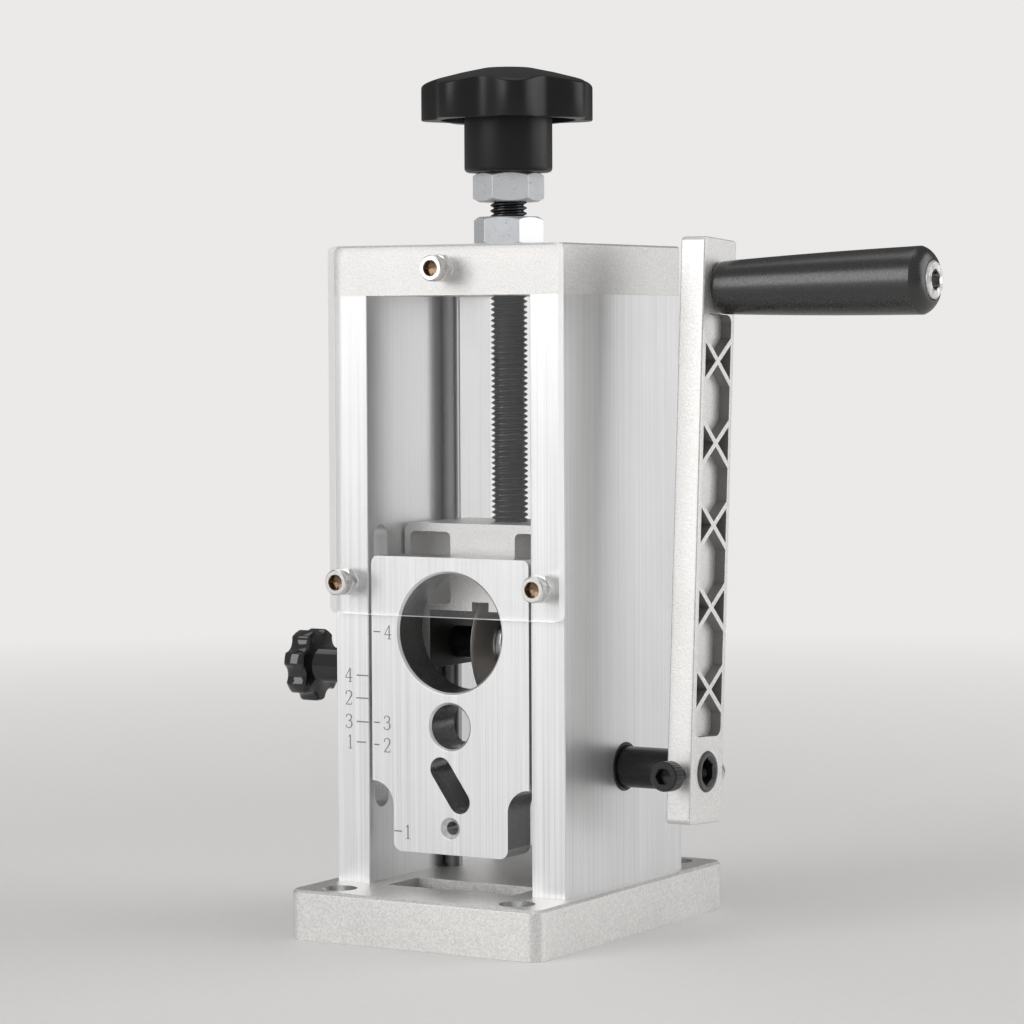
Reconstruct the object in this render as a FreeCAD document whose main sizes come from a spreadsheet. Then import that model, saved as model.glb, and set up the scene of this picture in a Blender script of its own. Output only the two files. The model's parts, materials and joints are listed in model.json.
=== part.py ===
import FreeCAD, Part
import math
import os
import re

import Sketcher
from FreeCAD import Placement, Rotation, Vector

# Hand crank wire stripper, in millimetres.
# The origin is the middle of the base's underside, on the lead screw's axis.
# +Z is up, +X points to the crank, and the front with the guide plate faces -Y.

SIZES = {
    # Housing
    "body_width": 71.8,
    "body_depth": 65.0,
    "side_thick": 10.4,
    "side_height": 159.5,
    "side_edge": 0.2,
    "cap_thick": 13.5,
    "cap_corner": 1.0,
    "cap_edge": 0.5,
    "base_thick": 13.5,
    "base_width": 78.4,
    "base_length": 104.6,
    "base_corner": 3.8,
    "base_edge": 0.8,
    "base_window_width": 39.2,
    "base_window_depth": 14.9,
    "mount_span_x": 55.6,
    "mount_span_y": 88.0,
    "mount_bore": 5.4,
    "mount_sink": 9.6,
    "mount_sink_depth": 2.1,
    # Fits
    "thread_gap": 0.02,
    "running_gap": 0.06,
    "face_gap": 0.1,
    "end_bevel": 0.5,
    # Housing screws
    "frame_screw": 5.0,
    "frame_screw_head": 9.2,
    "frame_screw_cone": 2.1,
    "frame_screw_length": 26.0,
    "frame_screw_pitch": 36.0,
    "frame_screw_socket": 3.0,
    "screw_recess": 0.3,
    # Clear front cover
    "cover_thick": 3.0,
    "cover_height": 99.5,
    "cover_corner": 2.0,
    "cover_screw": 4.0,
    "cover_screw_head": 7.0,
    "cover_head_height": 3.2,
    "cover_screw_bite": 2.4,
    "cover_screw_top": 6.4,
    "cover_screw_foot": 8.8,
    "cover_nut_flats": 7.0,
    "cover_nut_height": 2.2,
    "cover_socket": 3.0,
    # Guide rods
    "rod": 5.0,
    "rod_back": 6.8,
    "rod_wall_gap": 0.05,
    "rod_bite": 6.0,
    # Lead screw, knob and nuts
    "lead": 10.0,
    "lead_neck": 7.0,
    "lead_tail": 11.2,
    "lead_bevel": 0.75,
    "nut_height": 8.0,
    "nut_flats": 17.0,
    "nut_face": 16.2,
    "nut_corner": 0.9,
    "nut_turn": 17.6,
    "jam_turn": 33.6,
    "nut_space": 4.1,
    "hub": 24.1,
    "hub_height": 14.2,
    "rim": 48.0,
    "rim_inside": 37.0,
    "rim_height": 9.6,
    "rim_edge": 0.3,
    "rim_hollow": 5.0,
    "crown_height": 4.6,
    "crown_flat": 13.4,
    "crown_ring": 26.2,
    "crown_ring_drop": 1.34,
    "crown_slope": 38.4,
    "crown_slope_drop": 2.9,
    "crown_edge": 44.0,
    "crown_edge_drop": 3.8,
    "lobe_count": 7,
    "lobe_dip": 3.7,
    "lobe_round": 9.0,
    "lobe_turn": 22.3,
    "insert": 14.0,
    "insert_flats": 12.1,
    "insert_height": 16.5,
    "lead_in_knob": 17.0,
    # Blade carriage
    "carriage_height": 40.0,
    "carriage_depth": 29.6,
    "carriage_side_gap": 0.6,
    "carriage_round": 2.5,
    "fork_inside": 33.8,
    "fork_height": 16.2,
    "rib_width": 20.4,
    "recess_depth": 9.0,
    "recess_top": 2.3,
    "recess_side": 1.8,
    "recess_round": 1.6,
    "retainer_rise": 3.4,
    "retainer_thick": 2.6,
    "retainer_width": 16.0,
    "retainer_reach": 5.8,
    "retainer_flange": 2.0,
    "retainer_flange_height": 12.0,
    "retainer_screw": 3.0,
    "retainer_screw_head": 5.5,
    "retainer_screw_pitch": 9.6,
    "retainer_screw_drop": 4.0,
    "retainer_screw_bite": 8.0,
    "retainer_socket": 2.5,
    # Blade
    "blade": 36.0,
    "blade_thick": 3.0,
    "blade_edge_set": 0.5,
    "blade_back_step": 2.4,
    "blade_cone_set": 1.0,
    "blade_cone_step": 1.2,
    "blade_bevel": 21.0,
    "blade_side": 2.4,
    "blade_rise": 31.8,
    "blade_drop": 6.3,
    "blade_well_gap": 1.3,
    "blade_well_side": 1.0,
    "blade_hub": 10.0,
    "blade_flange": 18.6,
    "blade_flange_thick": 2.4,
    "blade_flange_bevel": 0.8,
    "blade_nut_flats": 14.0,
    "blade_nut_thick": 3.0,
    "axle": 6.0,
    "axle_inset": 0.3,
    "spacer": 9.0,
    "axle_grub": 4.0,
    # Guide plate
    "plate_thick": 12.0,
    "plate_front_gap": 0.3,
    "plate_side_gap": 0.8,
    "plate_top": 102.85,
    "plate_shoulder": 41.6,
    "plate_foot": 22.85,
    "plate_foot_width": 36.0,
    "plate_top_round": 2.0,
    "plate_foot_round": 2.6,
    "plate_waist_round": 6.8,
    "plate_waist_share": 0.96,
    "hole_large": 32.0,
    "hole_large_height": 82.6,
    "hole_middle": 12.0,
    "hole_middle_height": 57.4,
    "hole_small": 3.5,
    "hole_small_height": 30.0,
    "hole_small_sink": 1.25,
    "hole_edge": 0.6,
    "oblong_width": 6.4,
    "oblong_height": 41.6,
    "oblong_across": 5.9,
    "oblong_rise": 8.5,
    # Lock knob and guide pin in the left side's slot
    "slot_width": 7.0,
    "slot_foot": 33.7,
    "slot_head": 111.0,
    "lock_height": 71.8,
    "lock_stud": 6.0,
    "lock_stud_bite": 9.0,
    "lock_hub": 9.4,
    "lock_hub_length": 9.0,
    "lock_knob": 20.0,
    "lock_knob_thick": 6.4,
    "lock_edge": 0.7,
    "lock_dip": 1.6,
    "lock_round": 3.6,
    "pin": 6.8,
    "pin_drop": 12.0,
    "pin_bite": 7.0,
    "pin_inset": 0.6,
    # Drive shaft and feed roller
    "shaft_height": 45.5,
    "shaft": 11.1,
    "shaft_core": 8.0,
    "shaft_tail": 2.2,
    "bush_right": 13.2,
    "bush_left": 10.5,
    "bush_lip": 1.5,
    "bush_stand": 0.4,
    "ring": 13.0,
    "ring_thick": 0.8,
    "ring_groove": 6.8,
    "ring_gap": 5.0,
    "roller": 14.6,
    "roller_width": 18.0,
    "roller_groove": 1.2,
    "roller_grub": 4.0,
    "drive_socket": 6.4,
    "drive_socket_depth": 11.0,
    "drive_mouth": 8.4,
    "drive_mouth_depth": 0.7,
    "shaft_end_stand": 0.6,
    # Crank
    "arm_inside": 53.6,
    "arm_thick": 7.3,
    "arm_width": 18.3,
    "arm_heel": 13.9,
    "arm_tip": 13.2,
    "arm_corner": 1.4,
    "arm_round": 0.5,
    "arm_lean": 3.5,
    "crank_radius": 129.4,
    "truss_count": 5,
    "truss_pitch": 21.95,
    "truss_first": 22.0,
    "truss_end": 12.6,
    "truss_width": 14.4,
    "truss_half": 5.6,
    "truss_rib": 1.5,
    "truss_round": 2.4,
    "cell_depth": 3.0,
    "corner_depth": 5.0,
    "clamp_bolt": 4.0,
    "clamp_head": 8.1,
    "clamp_head_length": 5.0,
    "clamp_stand": 4.0,
    "clamp_socket": 4.0,
    "clamp_nut_flats": 7.0,
    "clamp_nut_height": 2.4,
    "clamp_tail": 1.0,
    "clamp_drop": 0.7,
    # Grip
    "grip_tilt": 1.4,
    "grip_length": 62.2,
    "grip_neck": 14.1,
    "grip_belly": 17.9,
    "grip_cap": 4.0,
    "grip_cap_edge": 0.4,
    "grip_face": 11.0,
    "grip_head_stand": 0.8,
    "grip_seat": 0.15,
    "grip_washer": 11.0,
    "grip_washer_thick": 0.6,
    "grip_bolt": 6.0,
    "grip_head": 10.0,
    "grip_head_length": 6.0,
    "grip_socket": 5.0,
}

# Sizes that follow from the driving ones
DERIVED = {
    "side_out": "body_width / 2",
    "side_in": "body_width / 2 - side_thick",
    "side_middle": "body_width / 2 - side_thick / 2",
    "front": "-body_depth / 2",
    "back": "body_depth / 2",
    "side_top": "base_thick + side_height",
    "cap_top": "side_top + cap_thick",
    "rod_side": "side_in - rod_wall_gap - rod / 2",
    "screw_side": "side_middle",
    "cover_foot": "cap_top - cover_height",
    "cover_face": "front - cover_thick",
    "cover_high": "cap_top - cover_screw_top",
    "cover_low": "cover_foot + cover_screw_foot",
    "nut_seat": "cap_top + face_gap / 2",
    "nut_top": "nut_seat + nut_height",
    "jam_seat": "nut_top + nut_space",
    "hub_seat": "jam_seat + nut_height",
    "rim_shoulder": "hub_height + rim_height",
    "crown_top": "rim_shoulder + crown_height",
    "blade_height": "shaft_height + blade_rise",
    "carriage_foot": "blade_height - blade_drop",
    "carriage_top": "carriage_foot + carriage_height",
    "carriage_side": "side_in - carriage_side_gap",
    "carriage_front": "-carriage_depth / 2",
    "carriage_back": "carriage_depth / 2",
    "fork_top": "carriage_foot + fork_height",
    "lead_foot": "carriage_top - lead_tail",
    "retainer_foot": "lead_foot + retainer_rise",
    "retainer_top": "retainer_foot + retainer_thick",
    "blade_left": "-blade_side",
    "blade_right": "blade_thick - blade_side",
    "plate_front": "front + plate_front_gap",
    "plate_back": "plate_front + plate_thick",
    "plate_middle": "plate_front + plate_thick / 2",
    "plate_side": "side_in - plate_side_gap",
    "pin_height": "lock_height - pin_drop",
    "shaft_left": "side_out + shaft_tail",
    "shoulder": "side_in + bush_lip + face_gap",
    "arm_outside": "arm_inside + arm_thick",
    "arm_middle": "arm_inside + arm_thick / 2",
    "washer_in": "arm_outside - grip_seat",
    "washer_out": "washer_in + grip_washer_thick",
    "grip_start": "washer_out + face_gap",
    "grip_height": "shaft_height + crank_radius",
    "grip_end": "grip_start + grip_length",
}

# How closely an edge must lie to the place that picks it
CLOSE = 0.01

doc = FreeCAD.newDocument("wire_stripper")
sheet = doc.addObject("Spreadsheet::Sheet", "Sizes")
for row, (alias, value) in enumerate(SIZES.items(), start=1):
    sheet.set(f"A{row}", alias)
    sheet.set(f"B{row}", str(value))
    sheet.setAlias(f"B{row}", alias)
doc.recompute()

nodes = []


def expand(text):
    """Write an expression with each size name replaced by its cell."""
    def swap(match):
        word = match.group(0)
        if word in DERIVED:
            return "(" + expand(DERIVED[word]) + ")"
        if word in SIZES:
            return "Sizes." + word
        return word

    return re.sub(r"[a-z][a-z_]*", swap, str(text))


def size(text):
    """Give the present value of an expression in size names."""
    found = sheet.evalExpression(expand(text))
    return float(getattr(found, "Value", found))


def node(item, name):
    """Name an object that is a finished piece."""
    item.Label = name
    nodes.append(item)
    return item


def place(item, x="0", y="0", z="0"):
    for axis, text in zip("xyz", (x, y, z)):
        item.setExpression(f"Placement.Base.{axis}", expand(text))
    return item


ALONG = {
    "X": Rotation(Vector(0, 0, 1), Vector(1, 0, 0)),
    "Y": Rotation(Vector(0, 0, 1), Vector(0, 1, 0)),
    "Z": Rotation(),
}


def along(item, axis, start, centre):
    """Stand an item made along Z on another axis, at a start and a centre."""
    item.Placement = Placement(Vector(), ALONG[axis])
    spot = list(centre)
    spot.insert("XYZ".index(axis), start)
    return place(item, *spot)


def box(name, x, y, z):
    item = doc.addObject("Part::Box", name)
    for side, (low, high) in zip(("Length", "Width", "Height"), (x, y, z)):
        item.setExpression(side, f"({expand(high)}) - ({expand(low)})")
    return place(item, x[0], y[0], z[0])


def cylinder(name, axis, diameter, span, centre=("0", "0")):
    item = doc.addObject("Part::Cylinder", name)
    item.setExpression("Radius", f"({expand(diameter)}) / 2")
    item.setExpression("Height", f"({expand(span[1])}) - ({expand(span[0])})")
    return along(item, axis, span[0], centre)


def cone(name, axis, diameters, span, centre=("0", "0")):
    item = doc.addObject("Part::Cone", name)
    item.setExpression("Radius1", f"({expand(diameters[0])}) / 2")
    item.setExpression("Radius2", f"({expand(diameters[1])}) / 2")
    item.setExpression("Height", f"({expand(span[1])}) - ({expand(span[0])})")
    return along(item, axis, span[0], centre)


def hexagon(name, axis, flats, span, centre=("0", "0")):
    item = doc.addObject("Part::Prism", name)
    item.Polygon = 6
    item.setExpression("Circumradius", f"({expand(flats)}) / sqrt(3)")
    item.setExpression("Height", f"({expand(span[1])}) - ({expand(span[0])})")
    return along(item, axis, span[0], centre)


def fuse(name, *items):
    item = doc.addObject("Part::MultiFuse", name)
    item.Shapes = list(items)
    return item


def cut(name, base, *tools):
    item = doc.addObject("Part::Cut", name)
    item.Base = base
    item.Tool = tools[0] if len(tools) == 1 else fuse(name + "_tools", *tools)
    return item


def group(name, items):
    """Gather separate solids of one kind in one node."""
    item = doc.addObject("Part::Compound", name)
    item.Links = list(items)
    return node(item, name)


def straight(edge, axis):
    """Tell whether an edge is a line along an axis."""
    if not isinstance(edge.Curve, Part.Line):
        return False
    way = edge.tangentAt(edge.FirstParameter)
    return math.isclose(abs(getattr(way, axis)), 1)


def upright(edge):
    return straight(edge, "z")


def numbered(item, test):
    """Give the numbers of the edges that pass a test."""
    doc.recompute()
    return [n for n, edge in enumerate(item.Shape.Edges, start=1) if test(edge)]


def rounded(name, item, radius, test):
    found = numbered(item, test)
    edged = doc.addObject("Part::Fillet", name)
    edged.Base = item
    edged.Edges = [(n, size(radius), size(radius)) for n in found]
    return edged


def bevelled(name, item, width, test):
    found = numbered(item, test)
    edged = doc.addObject("Part::Chamfer", name)
    edged.Base = item
    edged.Edges = [(n, size(width), size(width)) for n in found]
    return edged


def plane_of(body, role):
    return next(f for f in body.Origin.OriginFeatures if f.Role == role)


def drawing(body, name, plane, outlines=(), circles=(), offset="0"):
    """Draw closed outlines of points, and circles, each held to the sizes."""
    sketch = body.newObject("Sketcher::SketchObject", name)
    sketch.AttachmentSupport = [(plane_of(body, plane), "")]
    sketch.MapMode = "FlatFace"
    sketch.setExpression("AttachmentOffset.Base.z", expand(offset))
    held = []
    for outline in outlines:
        spots = [Vector(size(x), size(y), 0) for x, y in outline]
        first = sketch.GeometryCount
        for here, there in zip(spots, spots[1:] + spots[:1]):
            sketch.addGeometry(Part.LineSegment(here, there), False)
        last = first + len(outline) - 1
        for line in range(first, last + 1):
            follows = first if line == last else line + 1
            sketch.addConstraint(Sketcher.Constraint("Coincident", line, 2, follows, 1))
        for line, (x, y) in zip(range(first, last + 1), outline):
            held += [("DistanceX", line, 1, x), ("DistanceY", line, 1, y)]
    for x, y, diameter in circles:
        middle = Vector(size(x), size(y), 0)
        ring = Part.Circle(middle, Vector(0, 0, 1), size(diameter) / 2)
        line = sketch.addGeometry(ring, False)
        held += [("DistanceX", line, 3, x), ("DistanceY", line, 3, y)]
        number = sketch.addConstraint(Sketcher.Constraint("Diameter", line, size(diameter)))
        sketch.setExpression(f"Constraints[{number}]", expand(diameter))
    for kind, line, end, text in held:
        number = sketch.addConstraint(
            Sketcher.Constraint(kind, -1, 1, line, end, size(text)))
        sketch.setExpression(f"Constraints[{number}]", expand(text))
    return sketch


def pad(body, name, sketch, length, backwards=False):
    item = body.newObject("PartDesign::Pad", name)
    item.Profile = sketch
    item.Reversed = backwards
    item.setExpression("Length", expand(length))
    return item


def pocket(body, name, sketch, depth, backwards=False):
    """Cut a drawing into the body, and stop if it cuts nothing."""
    doc.recompute()
    before = body.Shape.Volume
    item = body.newObject("PartDesign::Pocket", name)
    item.Profile = sketch
    item.Reversed = backwards
    item.setExpression("Length", expand(depth))
    doc.recompute()
    if body.Shape.Volume >= before:
        raise RuntimeError(f"{name} cuts nothing")
    return item


def dressed(body, kind, name, feature, width, test):
    """Round or bevel the edges of a body's feature that pass a test."""
    found = numbered(feature, test)
    item = body.newObject("PartDesign::" + kind, name)
    item.Base = (feature, [f"Edge{n}" for n in found])
    item.setExpression("Radius" if kind == "Fillet" else "Size", expand(width))
    return item


def turned(name, axis, profile):
    """Turn a profile of (distance along, diameter) points about an axis."""
    body = doc.addObject("PartDesign::Body", name)
    points = [(f"({across}) / 2", far) for far, across in profile]
    plane, pivot = {"Z": ("XZ_Plane", "V_Axis"), "Y": ("XY_Plane", "V_Axis"),
                    "X": ("XY_Plane", "H_Axis")}[axis]
    if axis == "X":
        points = [(far, radius) for radius, far in points]
    sketch = drawing(body, name + "_profile", plane, [points])
    turn = body.newObject("PartDesign::Revolution", name + "_turn")
    turn.Profile = sketch
    turn.ReferenceAxis = (sketch, [pivot])
    turn.Angle = 360
    return body


def at(edge, axis, text):
    """Tell whether a whole edge lies in a plane across an axis."""
    low = getattr(edge.BoundBox, axis + "Min")
    high = getattr(edge.BoundBox, axis + "Max")
    place_there = size(text)
    return abs(low - place_there) < CLOSE and abs(high - place_there) < CLOSE


def corners(x_signs=(-1, 1), y_signs=(-1, 1)):
    return [(sx, sy) for sx in x_signs for sy in y_signs]


def base_plate():
    """The cast foot, with a window that lets the guide plate's foot drop in."""
    slab = box("base_slab", ("-base_width / 2", "base_width / 2"),
               ("-base_length / 2", "base_length / 2"), ("0", "base_thick"))
    soft = rounded("base_round", slab, "base_corner", upright)
    rim = bevelled("base_rim", soft, "base_edge", lambda e: at(e, "Z", "base_thick"))
    tools = [box("base_window", ("-base_window_width / 2", "base_window_width / 2"),
                 ("front", "front + base_window_depth"), ("-1", "base_thick + 1"))]
    for n, (sx, sy) in enumerate(corners()):
        spot = (f"{sx} * mount_span_x / 2", f"{sy} * mount_span_y / 2")
        tools.append(cylinder(f"mount_hole{n}", "Z", "mount_bore", ("-1", "base_thick + 1"), spot))
        tools.append(cone(f"mount_sink{n}", "Z", ("mount_bore", "mount_sink"),
                          ("base_thick - mount_sink_depth", "base_thick"), spot))
    for n, sx in enumerate((-1, 1)):
        tools.append(cylinder(f"base_rod_hole{n}", "Z", "rod + 2 * thread_gap",
                              ("base_thick - rod_bite", "base_thick + 1"),
                              (f"{sx} * rod_side", "rod_back")))
    for n, (sx, sy) in enumerate(corners()):
        spot = (f"{sx} * screw_side", f"{sy} * frame_screw_pitch / 2")
        tools += screw_hole(f"base_screw_hole{n}", "0", 1, "base_thick + 1", spot)
    node(cut("base_casting", rim, *tools), "base_plate")


def screw_hole(name, face, up, far, spot):
    """A countersunk hole from a face: its cone, its recess and its bore."""
    recess = f"{face} + {up} * screw_recess"
    deep = f"{recess} + {up} * frame_screw_cone"
    wide = "frame_screw_head + 2 * thread_gap"
    slim = "frame_screw + 2 * thread_gap"
    if up > 0:
        return [cylinder(name + "_recess", "Z", wide, (f"{face} - 1", recess), spot),
                cone(name + "_sink", "Z", (wide, slim), (recess, deep), spot),
                cylinder(name + "_bore", "Z", slim, (recess, far), spot)]
    return [cylinder(name + "_recess", "Z", wide, (recess, f"{face} + 1"), spot),
            cone(name + "_sink", "Z", (slim, wide), (deep, recess), spot),
            cylinder(name + "_bore", "Z", slim, (far, recess), spot)]


def frame_screws(name, face, up):
    """Four flush socket screws, up from the underside or down from the top."""
    screws = []
    head = f"{face} + {up} * screw_recess"
    deep = f"{head} + {up} * frame_screw_cone"
    tail = f"{head} + {up} * frame_screw_length"
    socket = f"{head} + {up} * frame_screw_cone"
    for n, (sx, sy) in enumerate(corners()):
        spot = (f"{sx} * screw_side", f"{sy} * frame_screw_pitch / 2")
        label = f"{name}{n}"
        if up > 0:
            top = cone(label + "_head", "Z", ("frame_screw_head", "frame_screw"), (head, deep), spot)
            stem = cylinder(label + "_stem", "Z", "frame_screw", (deep, tail), spot)
            key = hexagon(label + "_key", "Z", "frame_screw_socket", (f"{head} - 1", socket), spot)
        else:
            top = cone(label + "_head", "Z", ("frame_screw", "frame_screw_head"), (deep, head), spot)
            stem = cylinder(label + "_stem", "Z", "frame_screw", (tail, deep), spot)
            key = hexagon(label + "_key", "Z", "frame_screw_socket", (socket, f"{head} + 1"), spot)
        screws.append(cut(label, fuse(label + "_body", top, stem), key))
    group(name, screws)


def side_plates():
    """The two upright plates. The left one has the lock knob's long slot."""
    for name, sx in (("left_side_plate", -1), ("right_side_plate", 1)):
        low, high = ("-side_out", "-side_in") if sx < 0 else ("side_in", "side_out")
        slab = box(name + "_slab", (low, high), ("front", "back"), ("base_thick", "side_top"))
        edged = bevelled(name + "_edge", slab, "side_edge", upright)
        wide = "bush_left" if sx < 0 else "bush_right"
        tools = [cylinder(name + "_bore", "X", f"{wide} + 2 * thread_gap",
                          (f"{low} - 1", f"{high} + 1"), ("0", "shaft_height"))]
        for n, sy in enumerate((-1, 1)):
            spot = (f"{sx} * screw_side", f"{sy} * frame_screw_pitch / 2")
            slim = "frame_screw + 2 * thread_gap"
            bite = "screw_recess + frame_screw_length + 1"
            tools.append(cylinder(f"{name}_foot{n}", "Z", slim, ("base_thick - 1", bite), spot))
            tools.append(cylinder(f"{name}_head{n}", "Z", slim,
                                  (f"cap_top - ({bite})", "side_top + 1"), spot))
        tools.append(cylinder(name + "_cover_hole", "Y", "cover_screw + 2 * thread_gap",
                              ("front - 1", "front + cover_screw_bite + face_gap"),
                              (f"{sx} * screw_side", "cover_low")))
        if sx < 0:
            half = "slot_width / 2"
            tools.append(box("slot_middle", (f"{low} - 1", f"{high} + 1"),
                             (f"plate_middle - {half}", f"plate_middle + {half}"),
                             (f"slot_foot + {half}", f"slot_head - {half}")))
            for n, spot in enumerate((f"slot_foot + {half}", f"slot_head - {half}")):
                tools.append(cylinder(f"slot_end{n}", "X", "slot_width",
                                      (f"{low} - 1", f"{high} + 1"), ("plate_middle", spot)))
        node(cut(name + "_cut", edged, *tools), name)


def top_cap():
    """The cast bridge, whose thread carries the lead screw."""
    slab = box("cap_slab", ("-side_out", "side_out"), ("front", "back"), ("side_top", "cap_top"))
    soft = rounded("cap_round", slab, "cap_corner",
                   lambda e: upright(e) and at(e, "Y", "back"))
    rim = bevelled("cap_rim", soft, "cap_edge", lambda e: at(e, "Z", "cap_top"))
    tools = [cylinder("cap_thread", "Z", "lead + 2 * running_gap", ("side_top - 1", "cap_top + 1"))]
    for n, sx in enumerate((-1, 1)):
        tools.append(cylinder(f"cap_rod_hole{n}", "Z", "rod + 2 * thread_gap",
                              ("side_top - 1", "side_top + rod_bite"),
                              (f"{sx} * rod_side", "rod_back")))
    for n, (sx, sy) in enumerate(corners()):
        spot = (f"{sx} * screw_side", f"{sy} * frame_screw_pitch / 2")
        tools += screw_hole(f"cap_screw_hole{n}", "cap_top", -1, "side_top - 1", spot)
    tools.append(cylinder("cap_cover_hole", "Y", "cover_screw + 2 * thread_gap",
                          ("front - 1", "front + cover_screw_bite + face_gap"), ("0", "cover_high")))
    node(cut("cap_casting", rim, *tools), "top_cap")


def cover_spots():
    return [("0", "cover_high"), ("-screw_side", "cover_low"), ("screw_side", "cover_low")]


def window_cover():
    """The clear cover over the window, with its three screws and nuts."""
    slab = box("cover_slab", ("-side_out", "side_out"), ("cover_face", "front"),
               ("cover_foot", "cap_top"))
    sheet_edge = rounded("cover_round", slab, "cover_corner", lambda e: straight(e, "y"))
    holes = [cylinder(f"cover_hole{n}", "Y", "cover_screw + 6 * running_gap",
                      ("cover_face - 1", "front + 1"), spot)
             for n, spot in enumerate(cover_spots())]
    node(cut("cover_sheet", sheet_edge, *holes), "window_cover")
    nut_face = "cover_face - cover_nut_height"
    head_face = f"{nut_face} - cover_head_height"
    nuts, screws = [], []
    for n, spot in enumerate(cover_spots()):
        blank = hexagon(f"cover_nut_blank{n}", "Y", "cover_nut_flats", (nut_face, "cover_face"), spot)
        bore = cylinder(f"cover_nut_bore{n}", "Y", "cover_screw + 2 * thread_gap",
                        (f"{nut_face} - 1", "cover_face + 1"), spot)
        nuts.append(cut(f"cover_nut{n}", blank, bore))
        head = cylinder(f"cover_head{n}", "Y", "cover_screw_head", (head_face, nut_face), spot)
        stem = cylinder(f"cover_stem{n}", "Y", "cover_screw",
                        (nut_face, "front + cover_screw_bite"), spot)
        key = hexagon(f"cover_key{n}", "Y", "cover_socket",
                      (f"{head_face} - 1", f"{head_face} + cover_head_height / 2"), spot)
        screws.append(cut(f"cover_screw{n}", fuse(f"cover_screw_body{n}", head, stem), key))
    group("cover_nuts", nuts)
    group("cover_screws", screws)


def guide_rods():
    for name, sx in (("left_guide_rod", -1), ("right_guide_rod", 1)):
        rod = cylinder(name + "_bar", "Z", "rod",
                       ("base_thick - rod_bite + face_gap", "side_top + rod_bite - face_gap"),
                       (f"{sx} * rod_side", "rod_back"))
        node(rod, name)


def swung(item, angle):
    """Turn an item about the lead screw's axis, held to a size."""
    item.Placement = Placement(Vector(), Rotation(Vector(0, 0, 1), size(angle)))
    item.setExpression("Placement.Rotation.Angle", expand(angle))
    return item


def nut(name, seat, bore, angle):
    """A large nut with both its faces' corners turned off."""
    blank = hexagon(name + "_blank", "Z", "nut_flats", (seat, f"{seat} + nut_height"))
    corner = "nut_flats * 2 / sqrt(3)"
    turn = turned(name + "_corners", "Z", [
        (seat, "0"), (seat, "nut_face"), (f"{seat} + nut_corner", corner),
        (f"{seat} + nut_height - nut_corner", corner), (f"{seat} + nut_height", "nut_face"),
        (f"{seat} + nut_height", "0")])
    common = doc.addObject("Part::Common", name + "_turned")
    common.Base = blank
    common.Tool = turn
    hole = cylinder(name + "_bore", "Z", bore, (f"{seat} - 1", f"{seat} + nut_height + 1"))
    return node(swung(cut(name + "_cut", common, hole), angle), name)


def lead_screw():
    """The threaded spindle, its neck for the retainer and its nuts."""
    neck_low = "retainer_foot - face_gap"
    neck_high = "retainer_top + face_gap"
    node(turned("lead_turned", "Z", [
        ("lead_foot", "0"), ("lead_foot", "lead - 2 * lead_bevel"), ("lead_foot + lead_bevel", "lead"),
        (neck_low, "lead"), (neck_low, "lead_neck"), (neck_high, "lead_neck"),
        (neck_high, "lead"), ("hub_seat + lead_in_knob", "lead"),
        ("hub_seat + lead_in_knob", "0")]), "lead_screw")
    nut("lock_nut", "nut_seat", "lead + 2 * running_gap", "nut_turn")
    nut("jam_nut", "jam_seat", "lead + 2 * thread_gap", "jam_turn")


def star(body, name, top, diameter, dip, curve, count):
    """Cut even hollows into a round rim, from its top through its height."""
    across = f"{diameter} / 2 + {curve} - {dip}"
    sketch = drawing(body, name + "_hollow", "XY_Plane", circles=[(across, "0", f"2 * {curve}")],
                     offset=top)
    hollow = pocket(body, name + "_dip", sketch, f"{top}")
    ring = body.newObject("PartDesign::PolarPattern", name + "_ring")
    ring.Originals = [hollow]
    ring.Axis = (sketch, ["N_Axis"])
    ring.Angle = 360
    ring.setExpression("Occurrences", expand(count))
    body.Tip = ring
    return ring


def adjusting_knob():
    """The lobed knob, hollow below round its slim hub, on a metal insert."""
    body = turned("knob", "Z", [
        ("0", "insert + 2 * thread_gap"), ("0", "hub"), ("hub_height + rim_hollow", "hub"),
        ("hub_height + rim_hollow", "rim_inside"), ("hub_height", "rim_inside"),
        ("hub_height", "rim - 2 * rim_edge"), ("hub_height + rim_edge", "rim"),
        ("rim_shoulder - rim_edge", "rim"), ("rim_shoulder", "rim - 2 * rim_edge"),
        ("crown_top - crown_edge_drop", "crown_edge"), ("crown_top - crown_slope_drop", "crown_slope"),
        ("crown_top - crown_ring_drop", "crown_ring"), ("crown_top", "crown_flat"), ("crown_top", "0"),
        ("insert_height + face_gap", "0"),
        ("insert_height + face_gap", "insert + 2 * thread_gap")])
    body.Label = "knob_body"
    star(body, "knob", "crown_top", "rim", "lobe_dip", "lobe_round", "lobe_count")
    place(swung(body, "lobe_turn"), z="hub_seat")
    room = cylinder("knob_room", "Z", "lead + 2 * face_gap",
                    ("hub_seat + insert_height", "hub_seat + lead_in_knob + face_gap"))
    node(cut("knob_cut", body, room), "adjusting_knob")
    blank = hexagon("insert_blank", "Z", "insert_flats", ("hub_seat", "hub_seat + insert_height"))
    bore = cylinder("insert_bore", "Z", "lead + 2 * thread_gap",
                    ("hub_seat - 1", "hub_seat + insert_height + 1"))
    node(cut("insert_cut", blank, bore), "knob_insert")


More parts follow.
